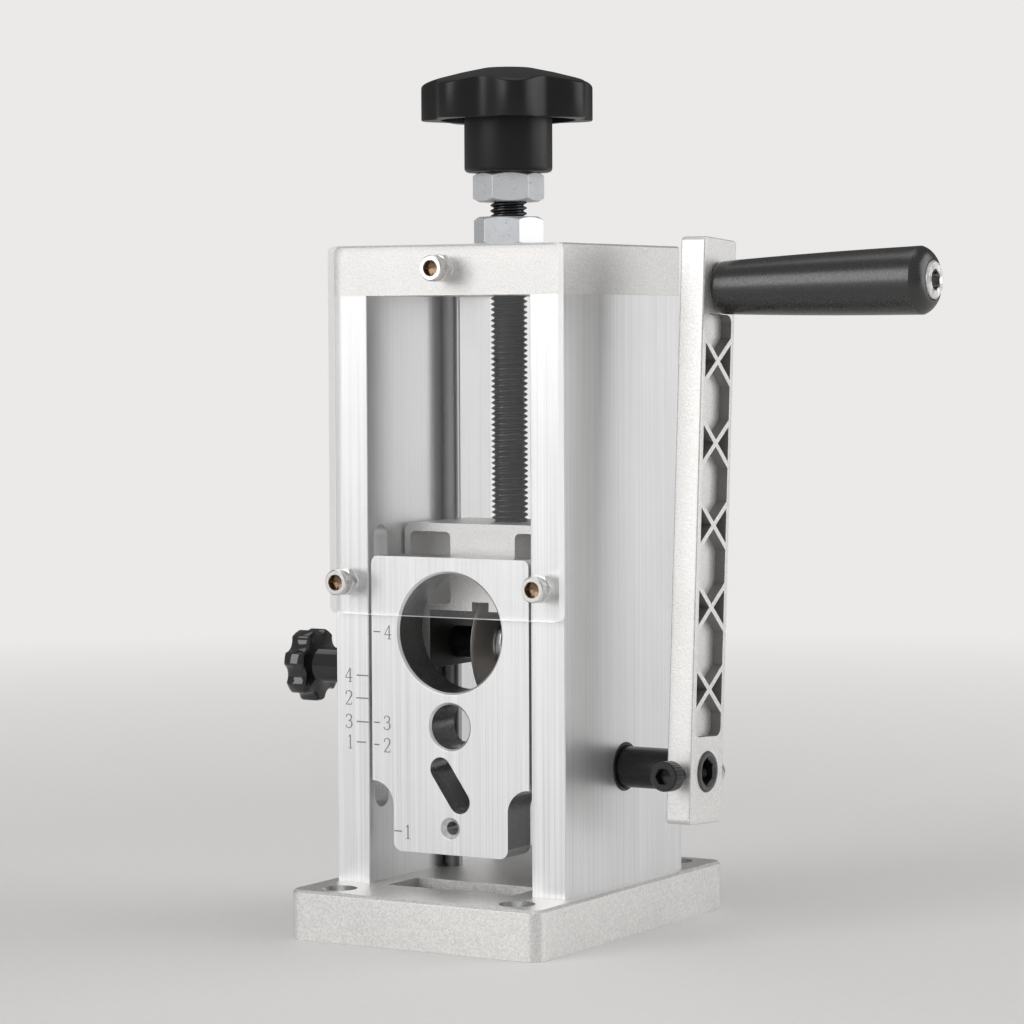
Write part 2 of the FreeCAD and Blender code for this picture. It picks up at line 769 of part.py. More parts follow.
def blade_carriage():
    """The cast slide: a ribbed head over a fork that holds the blade's axle."""
    body = doc.addObject("PartDesign::Body", "carriage")
    outer = [("-carriage_side", "carriage_foot"), ("-fork_inside / 2", "carriage_foot"),
             ("-fork_inside / 2", "fork_top"), ("fork_inside / 2", "fork_top"),
             ("fork_inside / 2", "carriage_foot"), ("carriage_side", "carriage_foot"),
             ("carriage_side", "carriage_top"), ("-carriage_side", "carriage_top")]
    profile = drawing(body, "carriage_profile", "XZ_Plane", [outer], offset="-carriage_back")
    block = pad(body, "carriage_block", profile, "carriage_depth")
    corner = dressed(body, "Fillet", "carriage_corner", block, "carriage_round",
                     lambda e: not upright(e) and abs(e.BoundBox.YLength - size("carriage_depth")) < CLOSE
                     and abs(abs(e.BoundBox.Center.x) - size("carriage_side")) < CLOSE
                     and abs(e.BoundBox.Center.z - size("carriage_top")) < CLOSE)
    ledge = "fork_top + recess_round"
    recesses = [[(f"{sx} * rib_width / 2", ledge), (f"{sx} * rib_width / 2", "carriage_top - recess_top"),
                 (f"{sx} * (carriage_side - recess_side)", "carriage_top - recess_top"),
                 (f"{sx} * (carriage_side - recess_side)", ledge)] for sx in (-1, 1)]
    windows = drawing(body, "carriage_recesses", "XZ_Plane", recesses, offset="-carriage_front")
    recess = pocket(body, "carriage_recess", windows, "recess_depth")
    floor = size("carriage_front + recess_depth / 2")
    dressed(body, "Fillet", "recess_corner", recess, "recess_round",
            lambda e: isinstance(e.Curve, Part.Line) and abs(e.BoundBox.Center.y - floor) < CLOSE
            and abs(e.BoundBox.YLength - size("recess_depth")) < CLOSE)
    well = cylinder("blade_well", "X", "blade + 2 * blade_well_gap",
                    ("blade_left - blade_well_side", "blade_right + blade_well_gap"),
                    ("0", "blade_height"))
    seat = cylinder("lead_seat", "Z", "lead + 2 * running_gap",
                    ("lead_foot - face_gap", "carriage_top + 1"))
    slot = box("retainer_slot", ("-retainer_width / 2 - face_gap", "retainer_width / 2 + face_gap"),
               ("-retainer_reach - face_gap", "carriage_back + 1"), ("retainer_foot", "retainer_top"))
    tools = [well, seat, slot]
    for n, sx in enumerate((-1, 1)):
        tools.append(cylinder(f"rod_groove{n}", "Z", "rod + 4 * running_gap",
                              ("carriage_foot - 1", "carriage_top + 1"),
                              (f"{sx} * rod_side", "rod_back")))
        low, high = ("-carriage_side - 1", "-fork_inside / 2 + 1") if sx < 0 else (
            "fork_inside / 2 - 1", "carriage_side + 1")
        tools.append(cylinder(f"axle_hole{n}", "X", "axle + 2 * thread_gap", (low, high),
                              ("0", "blade_height")))
        tools.append(cylinder(f"grub_hole{n}", "Z", "axle_grub + 2 * thread_gap",
                              ("carriage_foot - 1", "blade_height"),
                              (f"{sx} * (carriage_side + fork_inside / 2) / 2", "0")))
        tools.append(cylinder(f"retainer_hole{n}", "Y", "retainer_screw + 2 * thread_gap",
                              ("carriage_back - retainer_screw_bite - 1", "carriage_back + 1"),
                              (f"{sx} * retainer_screw_pitch / 2",
                               "retainer_foot - retainer_screw_drop")))
    node(cut("carriage_casting", body, *tools), "blade_carriage")


def retainer():
    """The forked key in the lead screw's neck, with a flange and two screws."""
    tongue = box("retainer_tongue", ("-retainer_width / 2", "retainer_width / 2"),
                 ("-retainer_reach", "carriage_back + retainer_flange"),
                 ("retainer_foot + face_gap / 2", "retainer_top - face_gap / 2"))
    flange = box("retainer_plate", ("-retainer_width / 2", "retainer_width / 2"),
                 ("carriage_back", "carriage_back + retainer_flange"),
                 ("retainer_top - face_gap / 2 - retainer_flange_height",
                  "retainer_top - face_gap / 2"))
    neck = "lead_neck + 2 * face_gap"
    mouth = box("retainer_mouth", (f"-({neck}) / 2", f"({neck}) / 2"),
                ("-retainer_reach - 1", "0"), ("retainer_foot - 1", "retainer_top + 1"))
    eye = cylinder("retainer_eye", "Z", neck, ("retainer_foot - 1", "retainer_top + 1"))
    spots = [(f"{sx} * retainer_screw_pitch / 2", "retainer_foot - retainer_screw_drop")
             for sx in (-1, 1)]
    back = "carriage_back + retainer_flange"
    holes = [cylinder(f"flange_hole{n}", "Y", "retainer_screw + 4 * running_gap",
                      ("carriage_back - 1", f"{back} + 1"), spot) for n, spot in enumerate(spots)]
    node(cut("retainer_cut", fuse("retainer_blank", tongue, flange), mouth, eye, *holes),
         "screw_retainer")
    screws = []
    for n, spot in enumerate(spots):
        head = cylinder(f"retainer_head{n}", "Y", "retainer_screw_head",
                        (back, f"{back} + retainer_screw"), spot)
        stem = cylinder(f"retainer_stem{n}", "Y", "retainer_screw",
                        ("carriage_back - retainer_screw_bite", back), spot)
        key = hexagon(f"retainer_key{n}", "Y", "retainer_socket",
                      (f"{back} + retainer_screw / 2", f"{back} + retainer_screw + 1"), spot)
        screws.append(cut(f"retainer_screw{n}", fuse(f"retainer_screw_body{n}", head, stem), key))
    group("retainer_screws", screws)


def blade_set():
    """The blade on its hub, and the fixed axle with its spacers."""
    inner = "blade_hub + 2 * thread_gap"
    blade = turned("blade_turned", "X", [
        ("blade_left", inner), ("blade_left", "blade - blade_back_step"),
        ("blade_left + blade_edge_set", "blade"), ("blade_left + blade_cone_set", "blade - blade_cone_step"),
        ("blade_right", "blade_bevel"), ("blade_right", inner)])
    node(place(blade, z="blade_height"), "round_blade")
    flange_out = "blade_right + blade_flange_thick"
    bore = "axle + 2 * running_gap"
    nut_out = "blade_left - blade_nut_thick"
    hub = turned("hub_turned", "X", [
        (nut_out, bore), (nut_out, "blade_hub"), ("blade_right", "blade_hub"),
        ("blade_right", "blade_flange"), (f"{flange_out} - blade_flange_bevel", "blade_flange"),
        (flange_out, "blade_flange - 2 * blade_flange_bevel"), (flange_out, bore)])
    node(place(hub, z="blade_height"), "blade_hub")
    blank = hexagon("blade_nut_blank", "X", "blade_nut_flats", (nut_out, "blade_left"),
                    ("0", "blade_height"))
    hole = cylinder("blade_nut_bore", "X", inner, (f"{nut_out} - 1", "blade_left + 1"),
                    ("0", "blade_height"))
    node(cut("blade_nut_cut", blank, hole), "blade_hub_nut")
    tip = "carriage_side - axle_inset"
    axle = turned("axle_turned", "X", [
        (f"-({tip})", "0"), (f"-({tip})", "axle - 2 * end_bevel"), (f"-({tip}) + end_bevel", "axle"),
        (f"({tip}) - end_bevel", "axle"), (tip, "axle - 2 * end_bevel"), (tip, "0")])
    node(place(axle, z="blade_height"), "blade_axle")
    spans = ((f"-fork_inside / 2 + face_gap", f"{nut_out} - face_gap"),
             (f"{flange_out} + face_gap", f"fork_inside / 2 - face_gap"))
    spacers = []
    for n, (low, high) in enumerate(spans):
        tube = cylinder(f"spacer_tube{n}", "X", "spacer", (low, high), ("0", "blade_height"))
        hole = cylinder(f"spacer_bore{n}", "X", "axle + 2 * running_gap",
                        (f"{low} - 1", f"{high} + 1"), ("0", "blade_height"))
        spacers.append(cut(f"spacer{n}", tube, hole))
    group("axle_spacers", spacers)
    grubs = [cylinder(f"axle_grub{n}", "Z", "axle_grub",
                      ("carriage_foot + axle_inset", "blade_height - axle / 2 - thread_gap"),
                      (f"{sx} * (carriage_side + fork_inside / 2) / 2", "0"))
             for n, sx in enumerate((-1, 1))]
    group("axle_set_screws", grubs)


def guide_plate():
    """The sliding plate with a hole for each wire size and a narrow foot."""
    body = doc.addObject("PartDesign::Body", "guide")
    foot = "plate_foot_width / 2"
    outer = [(f"-{foot}", "plate_foot"), (foot, "plate_foot"), (foot, "plate_shoulder"),
             ("plate_side", "plate_shoulder"), ("plate_side", "plate_top"),
             ("-plate_side", "plate_top"), ("-plate_side", "plate_shoulder"),
             (f"-{foot}", "plate_shoulder")]
    holes = [("0", "hole_large_height", "hole_large"), ("0", "hole_middle_height", "hole_middle"),
             ("0", "hole_small_height", "hole_small")]
    profile = drawing(body, "guide_profile", "XZ_Plane", [outer], holes, offset="-plate_back")
    slab = pad(body, "guide_slab", profile, "plate_thick")

    def side_edge(height, across):
        def test(edge):
            box_there = edge.BoundBox
            return (abs(box_there.YLength - size("plate_thick")) < CLOSE
                    and abs(box_there.Center.z - size(height)) < CLOSE
                    and abs(abs(box_there.Center.x) - size(across)) < CLOSE)
        return test

    top = dressed(body, "Fillet", "guide_top", slab, "plate_top_round",
                  side_edge("plate_top", "plate_side"))
    waist = dressed(body, "Fillet", "guide_waist", top,
                    f"min(plate_waist_round; (plate_side - {foot}) * plate_waist_share)",
                    side_edge("plate_shoulder", foot))
    heel = dressed(body, "Fillet", "guide_heel", waist, "plate_foot_round",
                   side_edge("plate_foot", foot))

    def ring_edge(diameter):
        def test(edge):
            circle = isinstance(edge.Curve, Part.Circle)
            return (circle and at(edge, "Y", "plate_front")
                    and abs(edge.Curve.Radius - size(diameter) / 2) < CLOSE
                    and abs(edge.Curve.Center.x) < CLOSE)
        return test

    wide = dressed(body, "Chamfer", "guide_wide", heel, "hole_edge", ring_edge("hole_large"))
    middle = dressed(body, "Chamfer", "guide_middle", wide, "hole_edge", ring_edge("hole_middle"))
    dressed(body, "Chamfer", "guide_small", middle, "hole_small_sink", ring_edge("hole_small"))
    span = ("plate_front - 1", "plate_back + 1")
    ends = [(f"{s} * oblong_across / 2", f"oblong_height - {s} * oblong_rise / 2") for s in (-1, 1)]
    tools = [cylinder(f"oblong_end{n}", "Y", "oblong_width", span, spot)
             for n, spot in enumerate(ends)]
    reach = "sqrt(oblong_across ^ 2 + oblong_rise ^ 2)"
    middle_bar = doc.addObject("Part::Box", "oblong_middle")
    middle_bar.setExpression("Length", expand(reach))
    middle_bar.setExpression("Width", expand(f"({span[1]}) - ({span[0]})"))
    middle_bar.setExpression("Height", expand("oblong_width"))
    slope = math.degrees(math.atan2(size("oblong_rise"), size("oblong_across")))
    middle_bar.Placement = Placement(
        Vector(size(ends[0][0]), size(span[0]), size(ends[0][1])),
        Rotation(Vector(0, 1, 0), slope)).multiply(
            Placement(Vector(0, 0, -size("oblong_width") / 2), Rotation()))
    tools.append(middle_bar)
    tools.append(cylinder("stud_hole", "X", "lock_stud + 2 * thread_gap",
                          ("-plate_side - 1", "-plate_side + lock_stud_bite + face_gap"),
                          ("plate_middle", "lock_height")))
    tools.append(cylinder("pin_hole", "X", "pin + 2 * thread_gap",
                          ("-plate_side - 1", "-plate_side + pin_bite + face_gap"),
                          ("plate_middle", "pin_height")))
    node(cut("guide_cut", body, *tools), "guide_plate")
    pin = turned("pin_turned", "X", [
        ("-side_out + pin_inset", "0"), ("-side_out + pin_inset", "pin - 2 * end_bevel"),
        ("-side_out + pin_inset + end_bevel", "pin"), ("-plate_side + pin_bite", "pin"),
        ("-plate_side + pin_bite", "0")])
    node(place(pin, y="plate_middle", z="pin_height"), "guide_pin")


def lock_knob():
    """The small star knob that clamps the guide plate, on its stud."""
    start = "side_out + face_gap"
    body = turned("lock", "Z", [
        ("0", "lock_stud + 2 * thread_gap"), ("0", "lock_hub"), ("lock_hub_length", "lock_hub"),
        ("lock_hub_length", "lock_knob - 2 * lock_edge"), ("lock_hub_length + lock_edge", "lock_knob"),
        ("lock_hub_length + lock_knob_thick - lock_edge", "lock_knob"),
        ("lock_hub_length + lock_knob_thick", "lock_knob - 2 * lock_edge"),
        ("lock_hub_length + lock_knob_thick", "0"), ("lock_hub_length", "0"),
        ("lock_hub_length", "lock_stud + 2 * thread_gap")])
    star(body, "lock", "lock_hub_length + lock_knob_thick", "lock_knob", "lock_dip",
         "lock_round", "lobe_count")
    body.Placement = Placement(Vector(), Rotation(Vector(0, 0, 1), Vector(-1, 0, 0)))
    node(place(body, f"-({start})", "plate_middle", "lock_height"), "lock_knob")
    stud = cylinder("stud_bar", "X", "lock_stud",
                    (f"-({start}) - lock_hub_length + face_gap", "-plate_side + lock_stud_bite"),
                    ("plate_middle", "lock_height"))
    node(stud, "lock_stud")


def shaft_bushes():
    left = turned("left_bush_turned", "X", [
        ("-side_out", "shaft_core + 2 * running_gap"), ("-side_out", "bush_left"),
        ("-side_in", "bush_left"), ("-side_in", "shaft_core + 2 * running_gap")])
    node(place(left, z="shaft_height"), "left_shaft_bush")
    lip = "side_in + bush_lip"
    right = turned("right_bush_turned", "X", [
        ("side_in", "shaft_core + 2 * running_gap"), ("side_in", "bush_right"),
        ("side_out + bush_stand", "bush_right"), ("side_out + bush_stand", "shaft + 2 * running_gap"),
        (lip, "shaft + 2 * running_gap"), (lip, "shaft_core + 2 * running_gap")])
    node(place(right, z="shaft_height"), "right_shaft_bush")


def bound_lean(item, name):
    """Carry a finished crank piece in a compound that leans with the arm."""
    carrier = doc.addObject("Part::Compound", name + "_leaned")
    carrier.Links = [item]
    angle = expand("arm_lean")
    carrier.setExpression("Placement.Rotation.Angle", angle)
    carrier.Placement = Placement(Vector(), Rotation(Vector(-1, 0, 0), size("arm_lean")))
    carrier.setExpression("Placement.Base.y", expand("-shaft_height * sin(arm_lean)"))
    carrier.setExpression("Placement.Base.z", expand("shaft_height * (1 - cos(arm_lean))"))
    return node(carrier, name)


def bound_tilt(item, name):
    """Tilt a grip piece up about the middle of its seat on the arm."""
    carrier = doc.addObject("Part::Compound", name + "_tilted")
    carrier.Links = [item]
    carrier.Placement = Placement(Vector(), Rotation(Vector(0, -1, 0), size("grip_tilt")))
    carrier.setExpression("Placement.Rotation.Angle", expand("grip_tilt"))
    carrier.setExpression("Placement.Base.x", expand(
        "arm_outside * (1 - cos(grip_tilt)) + grip_height * sin(grip_tilt)"))
    carrier.setExpression("Placement.Base.z", expand(
        "grip_height * (1 - cos(grip_tilt)) - arm_outside * sin(grip_tilt)"))
    return carrier


def drive_shaft():
    """The stepped shaft with its drill socket, cross hole and ring groove."""
    groove_in = "-side_out - face_gap"
    groove_out = f"{groove_in} - ring_thick - face_gap"
    end = "arm_outside + shaft_end_stand"
    body = turned("shaft_turned", "X", [
        ("-shaft_left", "0"), ("-shaft_left", "shaft_core - 2 * end_bevel"),
        ("-shaft_left + end_bevel", "shaft_core"),
        (groove_out, "shaft_core"), (groove_out, "ring_groove"), (groove_in, "ring_groove"),
        (groove_in, "shaft_core"), ("shoulder", "shaft_core"), ("shoulder", "shaft"),
        (f"{end} - end_bevel", "shaft"), (end, "shaft - 2 * end_bevel"), (end, "0")])
    place(body, z="shaft_height")
    socket = hexagon("drive_socket_tool", "X", "drive_socket", (f"{end} - drive_socket_depth", f"{end} + 1"),
                     ("0", "shaft_height"))
    mouth = cone("drive_mouth_tool", "X", ("drive_mouth - 2 * drive_mouth_depth", "drive_mouth"),
                 (f"{end} - drive_mouth_depth", end), ("0", "shaft_height"))
    cross = cylinder("shaft_cross", "Y", "clamp_bolt + 2 * thread_gap", ("-shaft", "shaft"),
                     ("arm_middle", "shaft_height - clamp_drop"))
    bound_lean(cut("shaft_cut", body, socket, mouth, cross), "drive_shaft")
    ring_in = f"{groove_in} - face_gap / 2"
    ring_out = f"{ring_in} - ring_thick"
    disc = cylinder("ring_disc", "X", "ring", (ring_out, ring_in), ("0", "shaft_height"))
    eye = cylinder("ring_eye", "X", "ring_groove + 2 * thread_gap", (f"{ring_out} - 1", f"{ring_in} + 1"),
                   ("0", "shaft_height"))
    gap = box("ring_mouth", (f"{ring_out} - 1", f"{ring_in} + 1"), ("-ring_gap / 2", "ring_gap / 2"),
                ("shaft_height - ring", "shaft_height"))
    bound_lean(cut("ring_cut", disc, eye, gap), "shaft_retaining_ring")


def feed_roller():
    """The grooved feed roller and the set screw that holds it."""
    half = "roller_width / 2"
    bore = "shaft_core + 2 * thread_gap"
    body = turned("roller_turned", "X", [
        (f"-{half}", bore), (f"-{half}", "roller - 2 * end_bevel"), (f"-{half} + end_bevel", "roller"),
        ("-roller_groove", "roller"), ("0", "roller - 2 * roller_groove"),
        ("roller_groove", "roller"), (f"{half} - end_bevel", "roller"),
        (half, "roller - 2 * end_bevel"), (half, bore)])
    place(body, z="shaft_height")
    far = f"{half} / 2"
    hole = cylinder("roller_grub_hole", "Z", "roller_grub + 2 * thread_gap",
                    ("shaft_height - roller", "shaft_height"), (far, "0"))
    bound_lean(cut("roller_cut", body, hole), "feed_roller")
    grub = cylinder("roller_grub_bar", "Z", "roller_grub",
                    ("shaft_height - roller / 2 + face_gap",
                     "shaft_height - shaft_core / 2 - thread_gap"), (far, "0"))
    bound_lean(grub, "roller_set_screw")


def truss_cells():
    """Give the outlines of the arm's cells: six-sided ones, and corner ones."""
    half = "truss_width / 2"
    run = "sqrt(truss_half ^ 2 + (truss_width / 2) ^ 2)"
    lift = f"truss_rib / 2 * {run} / (truss_width / 2)"
    inset = f"truss_rib / 2 * {run} / truss_half"
    count = int(size("truss_count"))
    crossings = [f"shaft_height + truss_first + {n} * truss_pitch" for n in range(count)]
    cells, corner_cells = [], []
    low = "shaft_height + truss_first - truss_end"
    first = crossings[0]
    cells.append([(f"-{half}", low), (half, low), (half, f"{first} - truss_half - {lift}"),
                  ("0", f"{first} - {lift}"), (f"-{half}", f"{first} - truss_half - {lift}")])
    for here, there in zip(crossings, crossings[1:]):
        cells.append([
            ("0", f"{here} + {lift}"), (half, f"{here} + truss_half + {lift}"),
            (half, f"{there} - truss_half - {lift}"), ("0", f"{there} - {lift}"),
            (f"-{half}", f"{there} - truss_half - {lift}"),
            (f"-{half}", f"{here} + truss_half + {lift}")])
    last = crossings[-1]
    high = f"{last} + truss_end"
    cells.append([("0", f"{last} + {lift}"), (half, f"{last} + truss_half + {lift}"),
                  (half, high), (f"-{half}", high), (f"-{half}", f"{last} + truss_half + {lift}")])
    for here in crossings:
        for s in (-1, 1):
            corner_cells.append([
                (f"{s} * {inset}", here), (f"{s} * {half}", f"{here} + truss_half - {lift}"),
                (f"{s} * {half}", f"{here} - truss_half + {lift}")])
    return cells, corner_cells


def crank_arm():
    """The cast arm, whose outer face is lightened by a row of crossed ribs."""
    body = doc.addObject("PartDesign::Body", "arm")
    low = "shaft_height - arm_heel"
    high = "shaft_height + crank_radius + arm_tip"
    outer = [("-arm_width / 2", low), ("arm_width / 2", low), ("arm_width / 2", high),
             ("-arm_width / 2", high)]
    profile = drawing(body, "arm_profile", "YZ_Plane", [outer],
                      [("0", "shaft_height", "shaft + 2 * thread_gap")], offset="arm_inside")
    bar = pad(body, "arm_bar", profile, "arm_thick")
    ended = dressed(body, "Fillet", "arm_ends", bar, "arm_corner", lambda e: straight(e, "x"))
    dressed(body, "Fillet", "arm_soft", ended, "arm_round",
            lambda e: straight(e, "y") or straight(e, "z"))
    cells, corner_cells = truss_cells()
    doc.recompute()
    shallow = drawing(body, "arm_cells", "YZ_Plane", cells, offset="arm_outside")
    pocket(body, "arm_cell_cut", shallow, "cell_depth")
    deep = drawing(body, "arm_corners", "YZ_Plane", corner_cells, offset="arm_outside")
    lightened = pocket(body, "arm_corner_cut", deep, "corner_depth")
    ends = (size("shaft_height + truss_first - truss_end"),
            size("shaft_height + truss_first + (truss_count - 1) * truss_pitch + truss_end"))

    def end_corner(edge):
        here = edge.BoundBox
        return (abs(here.XLength - size("cell_depth")) < CLOSE
                and abs(abs(here.Center.y) - size("truss_width / 2")) < CLOSE
                and min(abs(here.Center.z - end) for end in ends) < CLOSE)

    dressed(body, "Fillet", "arm_cell_round", lightened, "truss_round", end_corner)
    cross = cylinder("arm_cross", "Y", "clamp_bolt + 2 * thread_gap",
                     ("-arm_width", "arm_width"), ("arm_middle", "shaft_height - clamp_drop"))
    centre = ("0", "grip_height")
    hole = cylinder("grip_hole_tool", "X", "grip_bolt + 2 * thread_gap",
                    ("arm_inside - 1", "arm_outside + 1"), centre)
    seat = cylinder("grip_seat_tool", "X", "grip_washer + 2 * face_gap",
                    ("washer_in", "arm_outside + 1"), centre)
    bored = bound_tilt(fuse("grip_bore", hole, seat), "grip_bore")
    bound_lean(cut("arm_cut", body, cross, bored), "crank_arm")


def clamp_bolt():
    """The cross bolt through arm and shaft, with its nut behind."""
    spot = ("arm_middle", "shaft_height - clamp_drop")
    neck = "-arm_width / 2 - clamp_stand"
    face = f"{neck} - clamp_head_length"
    head = cylinder("clamp_head_bar", "Y", "clamp_head", (face, neck), spot)
    stem = cylinder("clamp_stem", "Y", "clamp_bolt",
                    (neck, "arm_width / 2 + clamp_nut_height + clamp_tail"), spot)
    key = hexagon("clamp_key", "Y", "clamp_socket", (f"{face} - 1", f"{face} + clamp_head_length / 2"), spot)
    bound_lean(cut("clamp_cut", fuse("clamp_body", head, stem), key), "clamp_bolt")
    blank = hexagon("clamp_nut_blank", "Y", "clamp_nut_flats",
                    ("arm_width / 2", "arm_width / 2 + clamp_nut_height"), spot)
    hole = cylinder("clamp_nut_bore", "Y", "clamp_bolt + 2 * thread_gap",
                    ("arm_width / 2 - 1", "arm_width / 2 + clamp_nut_height + 1"), spot)
    bound_lean(cut("clamp_nut_cut", blank, hole), "clamp_nut")


def grip():
    """The turning grip on its bolt, over a washer in a seat square to it."""
    centre = ("0", "grip_height")
    bore = "grip_bolt + 2 * running_gap"
    pit = "grip_head + 4 * running_gap"
    floor = "grip_end - grip_head_length"
    rim = "grip_end - grip_cap"
    face = "grip_end - grip_head_stand"
    body = turned("grip_body", "X", [
        ("grip_start", bore), ("grip_start", "grip_neck - 2 * end_bevel"),
        ("grip_start + end_bevel", "grip_neck"), (rim, "grip_belly"),
        (f"{rim} + grip_cap_edge", "grip_belly - 2 * grip_cap_edge"), (face, "grip_face"),
        (face, pit), (floor, pit), (floor, bore)])
    place(body, "0", *centre)
    bound_lean(bound_tilt(body, "grip_body"), "crank_grip")
    head = cylinder("grip_bolt_head", "X", "grip_head", (f"{floor} + face_gap", "grip_end"), centre)
    stem = cylinder("grip_bolt_stem", "X", "grip_bolt", ("arm_inside + 1", f"{floor} + face_gap"), centre)
    key = hexagon("grip_bolt_key", "X", "grip_socket", ("grip_end - grip_head_length / 2", "grip_end + 1"),
                  centre)
    bolt = cut("grip_bolt_cut", fuse("grip_bolt_body", head, stem), key)
    bound_lean(bound_tilt(bolt, "grip_bolt"), "grip_bolt")
    disc = cylinder("washer_disc", "X", "grip_washer", ("washer_in", "washer_out"), centre)
    hole = cylinder("washer_hole", "X", "grip_bolt + 4 * running_gap", ("washer_in - 1", "grip_start + 1"),
                    centre)
    bound_lean(bound_tilt(cut("washer_cut", disc, hole), "grip_washer"), "grip_washer")


def export():
    """Check every object, then write one file for each piece."""
    doc.recompute()
    for item in doc.Objects:
        bad = {"Invalid", "Error"} & set(item.State)
        if bad:
            raise RuntimeError(f"{item.Name} is {bad}")
    os.makedirs("parts", exist_ok=True)
    for item in nodes:
        shape = item.Shape
        if shape.isNull() or not shape.isValid() or not shape.Solids:
            raise RuntimeError(f"{item.Label} has no valid shape")
    for item in nodes:
        item.Shape.exportStep(f"parts/{item.Label}.step")
        print(item.Label, len(item.Shape.Solids), round(item.Shape.Volume, 1))


base_plate()
frame_screws("base_screws", "0", 1)
side_plates()
top_cap()
frame_screws("cap_screws", "cap_top", -1)
window_cover()
guide_rods()
lead_screw()
adjusting_knob()
blade_carriage()
retainer()
blade_set()
guide_plate()
lock_knob()
shaft_bushes()
drive_shaft()
feed_roller()
crank_arm()
clamp_bolt()
grip()
export()
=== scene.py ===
import json
import math

import bmesh
import bpy
from mathutils import Matrix, Vector


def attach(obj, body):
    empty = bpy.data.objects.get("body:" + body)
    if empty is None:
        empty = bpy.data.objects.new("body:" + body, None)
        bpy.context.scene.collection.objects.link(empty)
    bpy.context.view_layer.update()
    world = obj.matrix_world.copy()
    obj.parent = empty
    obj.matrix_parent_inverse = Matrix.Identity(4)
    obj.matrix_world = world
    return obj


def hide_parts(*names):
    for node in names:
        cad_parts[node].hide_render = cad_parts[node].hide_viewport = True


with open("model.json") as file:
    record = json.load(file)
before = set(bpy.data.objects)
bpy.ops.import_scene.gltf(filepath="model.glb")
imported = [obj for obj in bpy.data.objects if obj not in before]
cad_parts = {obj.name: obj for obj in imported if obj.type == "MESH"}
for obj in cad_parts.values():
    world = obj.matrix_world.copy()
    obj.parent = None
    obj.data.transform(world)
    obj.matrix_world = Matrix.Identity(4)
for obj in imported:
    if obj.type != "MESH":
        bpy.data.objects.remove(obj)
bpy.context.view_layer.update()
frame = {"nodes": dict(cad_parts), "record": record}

# Looks of the hand crank wire stripper, in metres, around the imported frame.
# +Z is up, +X points to the crank, and the front faces -Y.

MM = 0.001
TURN = 2 * math.pi

# A colour mix node's two colours and its result, by their place among its sockets
MIX_FIRST, MIX_SECOND, MIX_RESULT = 6, 7, 2

# Angles in degrees: edges beyond SHARP shade hard, and edges beyond BEVEL_FROM get a soft edge
SHARP, BEVEL_FROM = 32, 38

# Sizes in millimetres that the detailed pieces share with the frame
SHAFT_HEIGHT = 45.5
CRANK_RADIUS = 129.4
ARM_LEAN = 3.5
ARM_INSIDE, ARM_OUTSIDE, ARM_WIDTH = 53.6, 60.9, 18.3
TRUSS_FOOT, TRUSS_HEAD, TRUSS_WIDTH = 9.4, 122.4, 14.4
CLAMP_DROP = 0.7
GRIP_TILT = 1.4
GRIP_START = 61.45
BLADE_HEIGHT = 77.3
HUB_SEAT = 206.65
LOCK_HEIGHT = 71.8
PLATE_MIDDLE = -26.2
SIDE_OUT = 35.9
SIDE_MIDDLE = 30.7
FRONT = -32.5
PLATE_FRONT = -32.2
FORK_INSIDE, FORK_TOP = 33.8, 87.2
MOUNT_X, MOUNT_Y = 27.8, 44.0


# Node trees

def add(tree, kind, **values):
    """Add a shader node; a value goes to its input or its setting."""
    made = tree.nodes.new("ShaderNode" + kind)
    for key, value in values.items():
        if key in made.inputs:
            made.inputs[key].default_value = value
        else:
            setattr(made, key, value)
    return made


def field(tree, scale, stretch=(1, 1, 1), detail=3.0, shift=(0, 0, 0)):
    """Noise over the piece, with so many cells a metre along each axis."""
    where = add(tree, "TexCoord")
    space = add(tree, "Mapping", Scale=stretch, Location=shift)
    noise = add(tree, "TexNoise", Scale=scale, Detail=detail)
    tree.links.new(where.outputs["Object"], space.inputs["Vector"])
    tree.links.new(space.outputs["Vector"], noise.inputs["Vector"])
    return noise.outputs["Fac"]


def spread(tree, value, low, high, start=0.3, end=0.7):
    """Map a noise to a range."""
    made = add(tree, "MapRange")
    for name, number in (("From Min", start), ("From Max", end), ("To Min", low), ("To Max", high)):
        made.inputs[name].default_value = number
    tree.links.new(value, made.inputs["Value"])
    return made.outputs["Result"]


def blend(tree, share, dark, light):
    """Mix two colours by a share."""
    made = add(tree, "Mix", data_type="RGBA")
    tree.links.new(share, made.inputs["Factor"])
    for number, colour in ((MIX_FIRST, dark), (MIX_SECOND, light)):
        if isinstance(colour, bpy.types.NodeSocket):
            tree.links.new(colour, made.inputs[number])
        else:
            made.inputs[number].default_value = (*colour, 1)
    return made.outputs[MIX_RESULT]


def scaled(colour, amount):
    """A colour made lighter or darker."""
    return tuple(min(1.0, part * amount) for part in colour)


for packed in list(bpy.data.materials):
    packed.name = "packed_" + packed.name

SLOT_OF = {entry["node"]: entry["material_slot"] for entry in frame["record"]["subparts"]}
BODY_OF = {name: body for body, names in frame["record"]["behaviour"]["bodies"].items()
           for name in names}
MATERIALS = {}


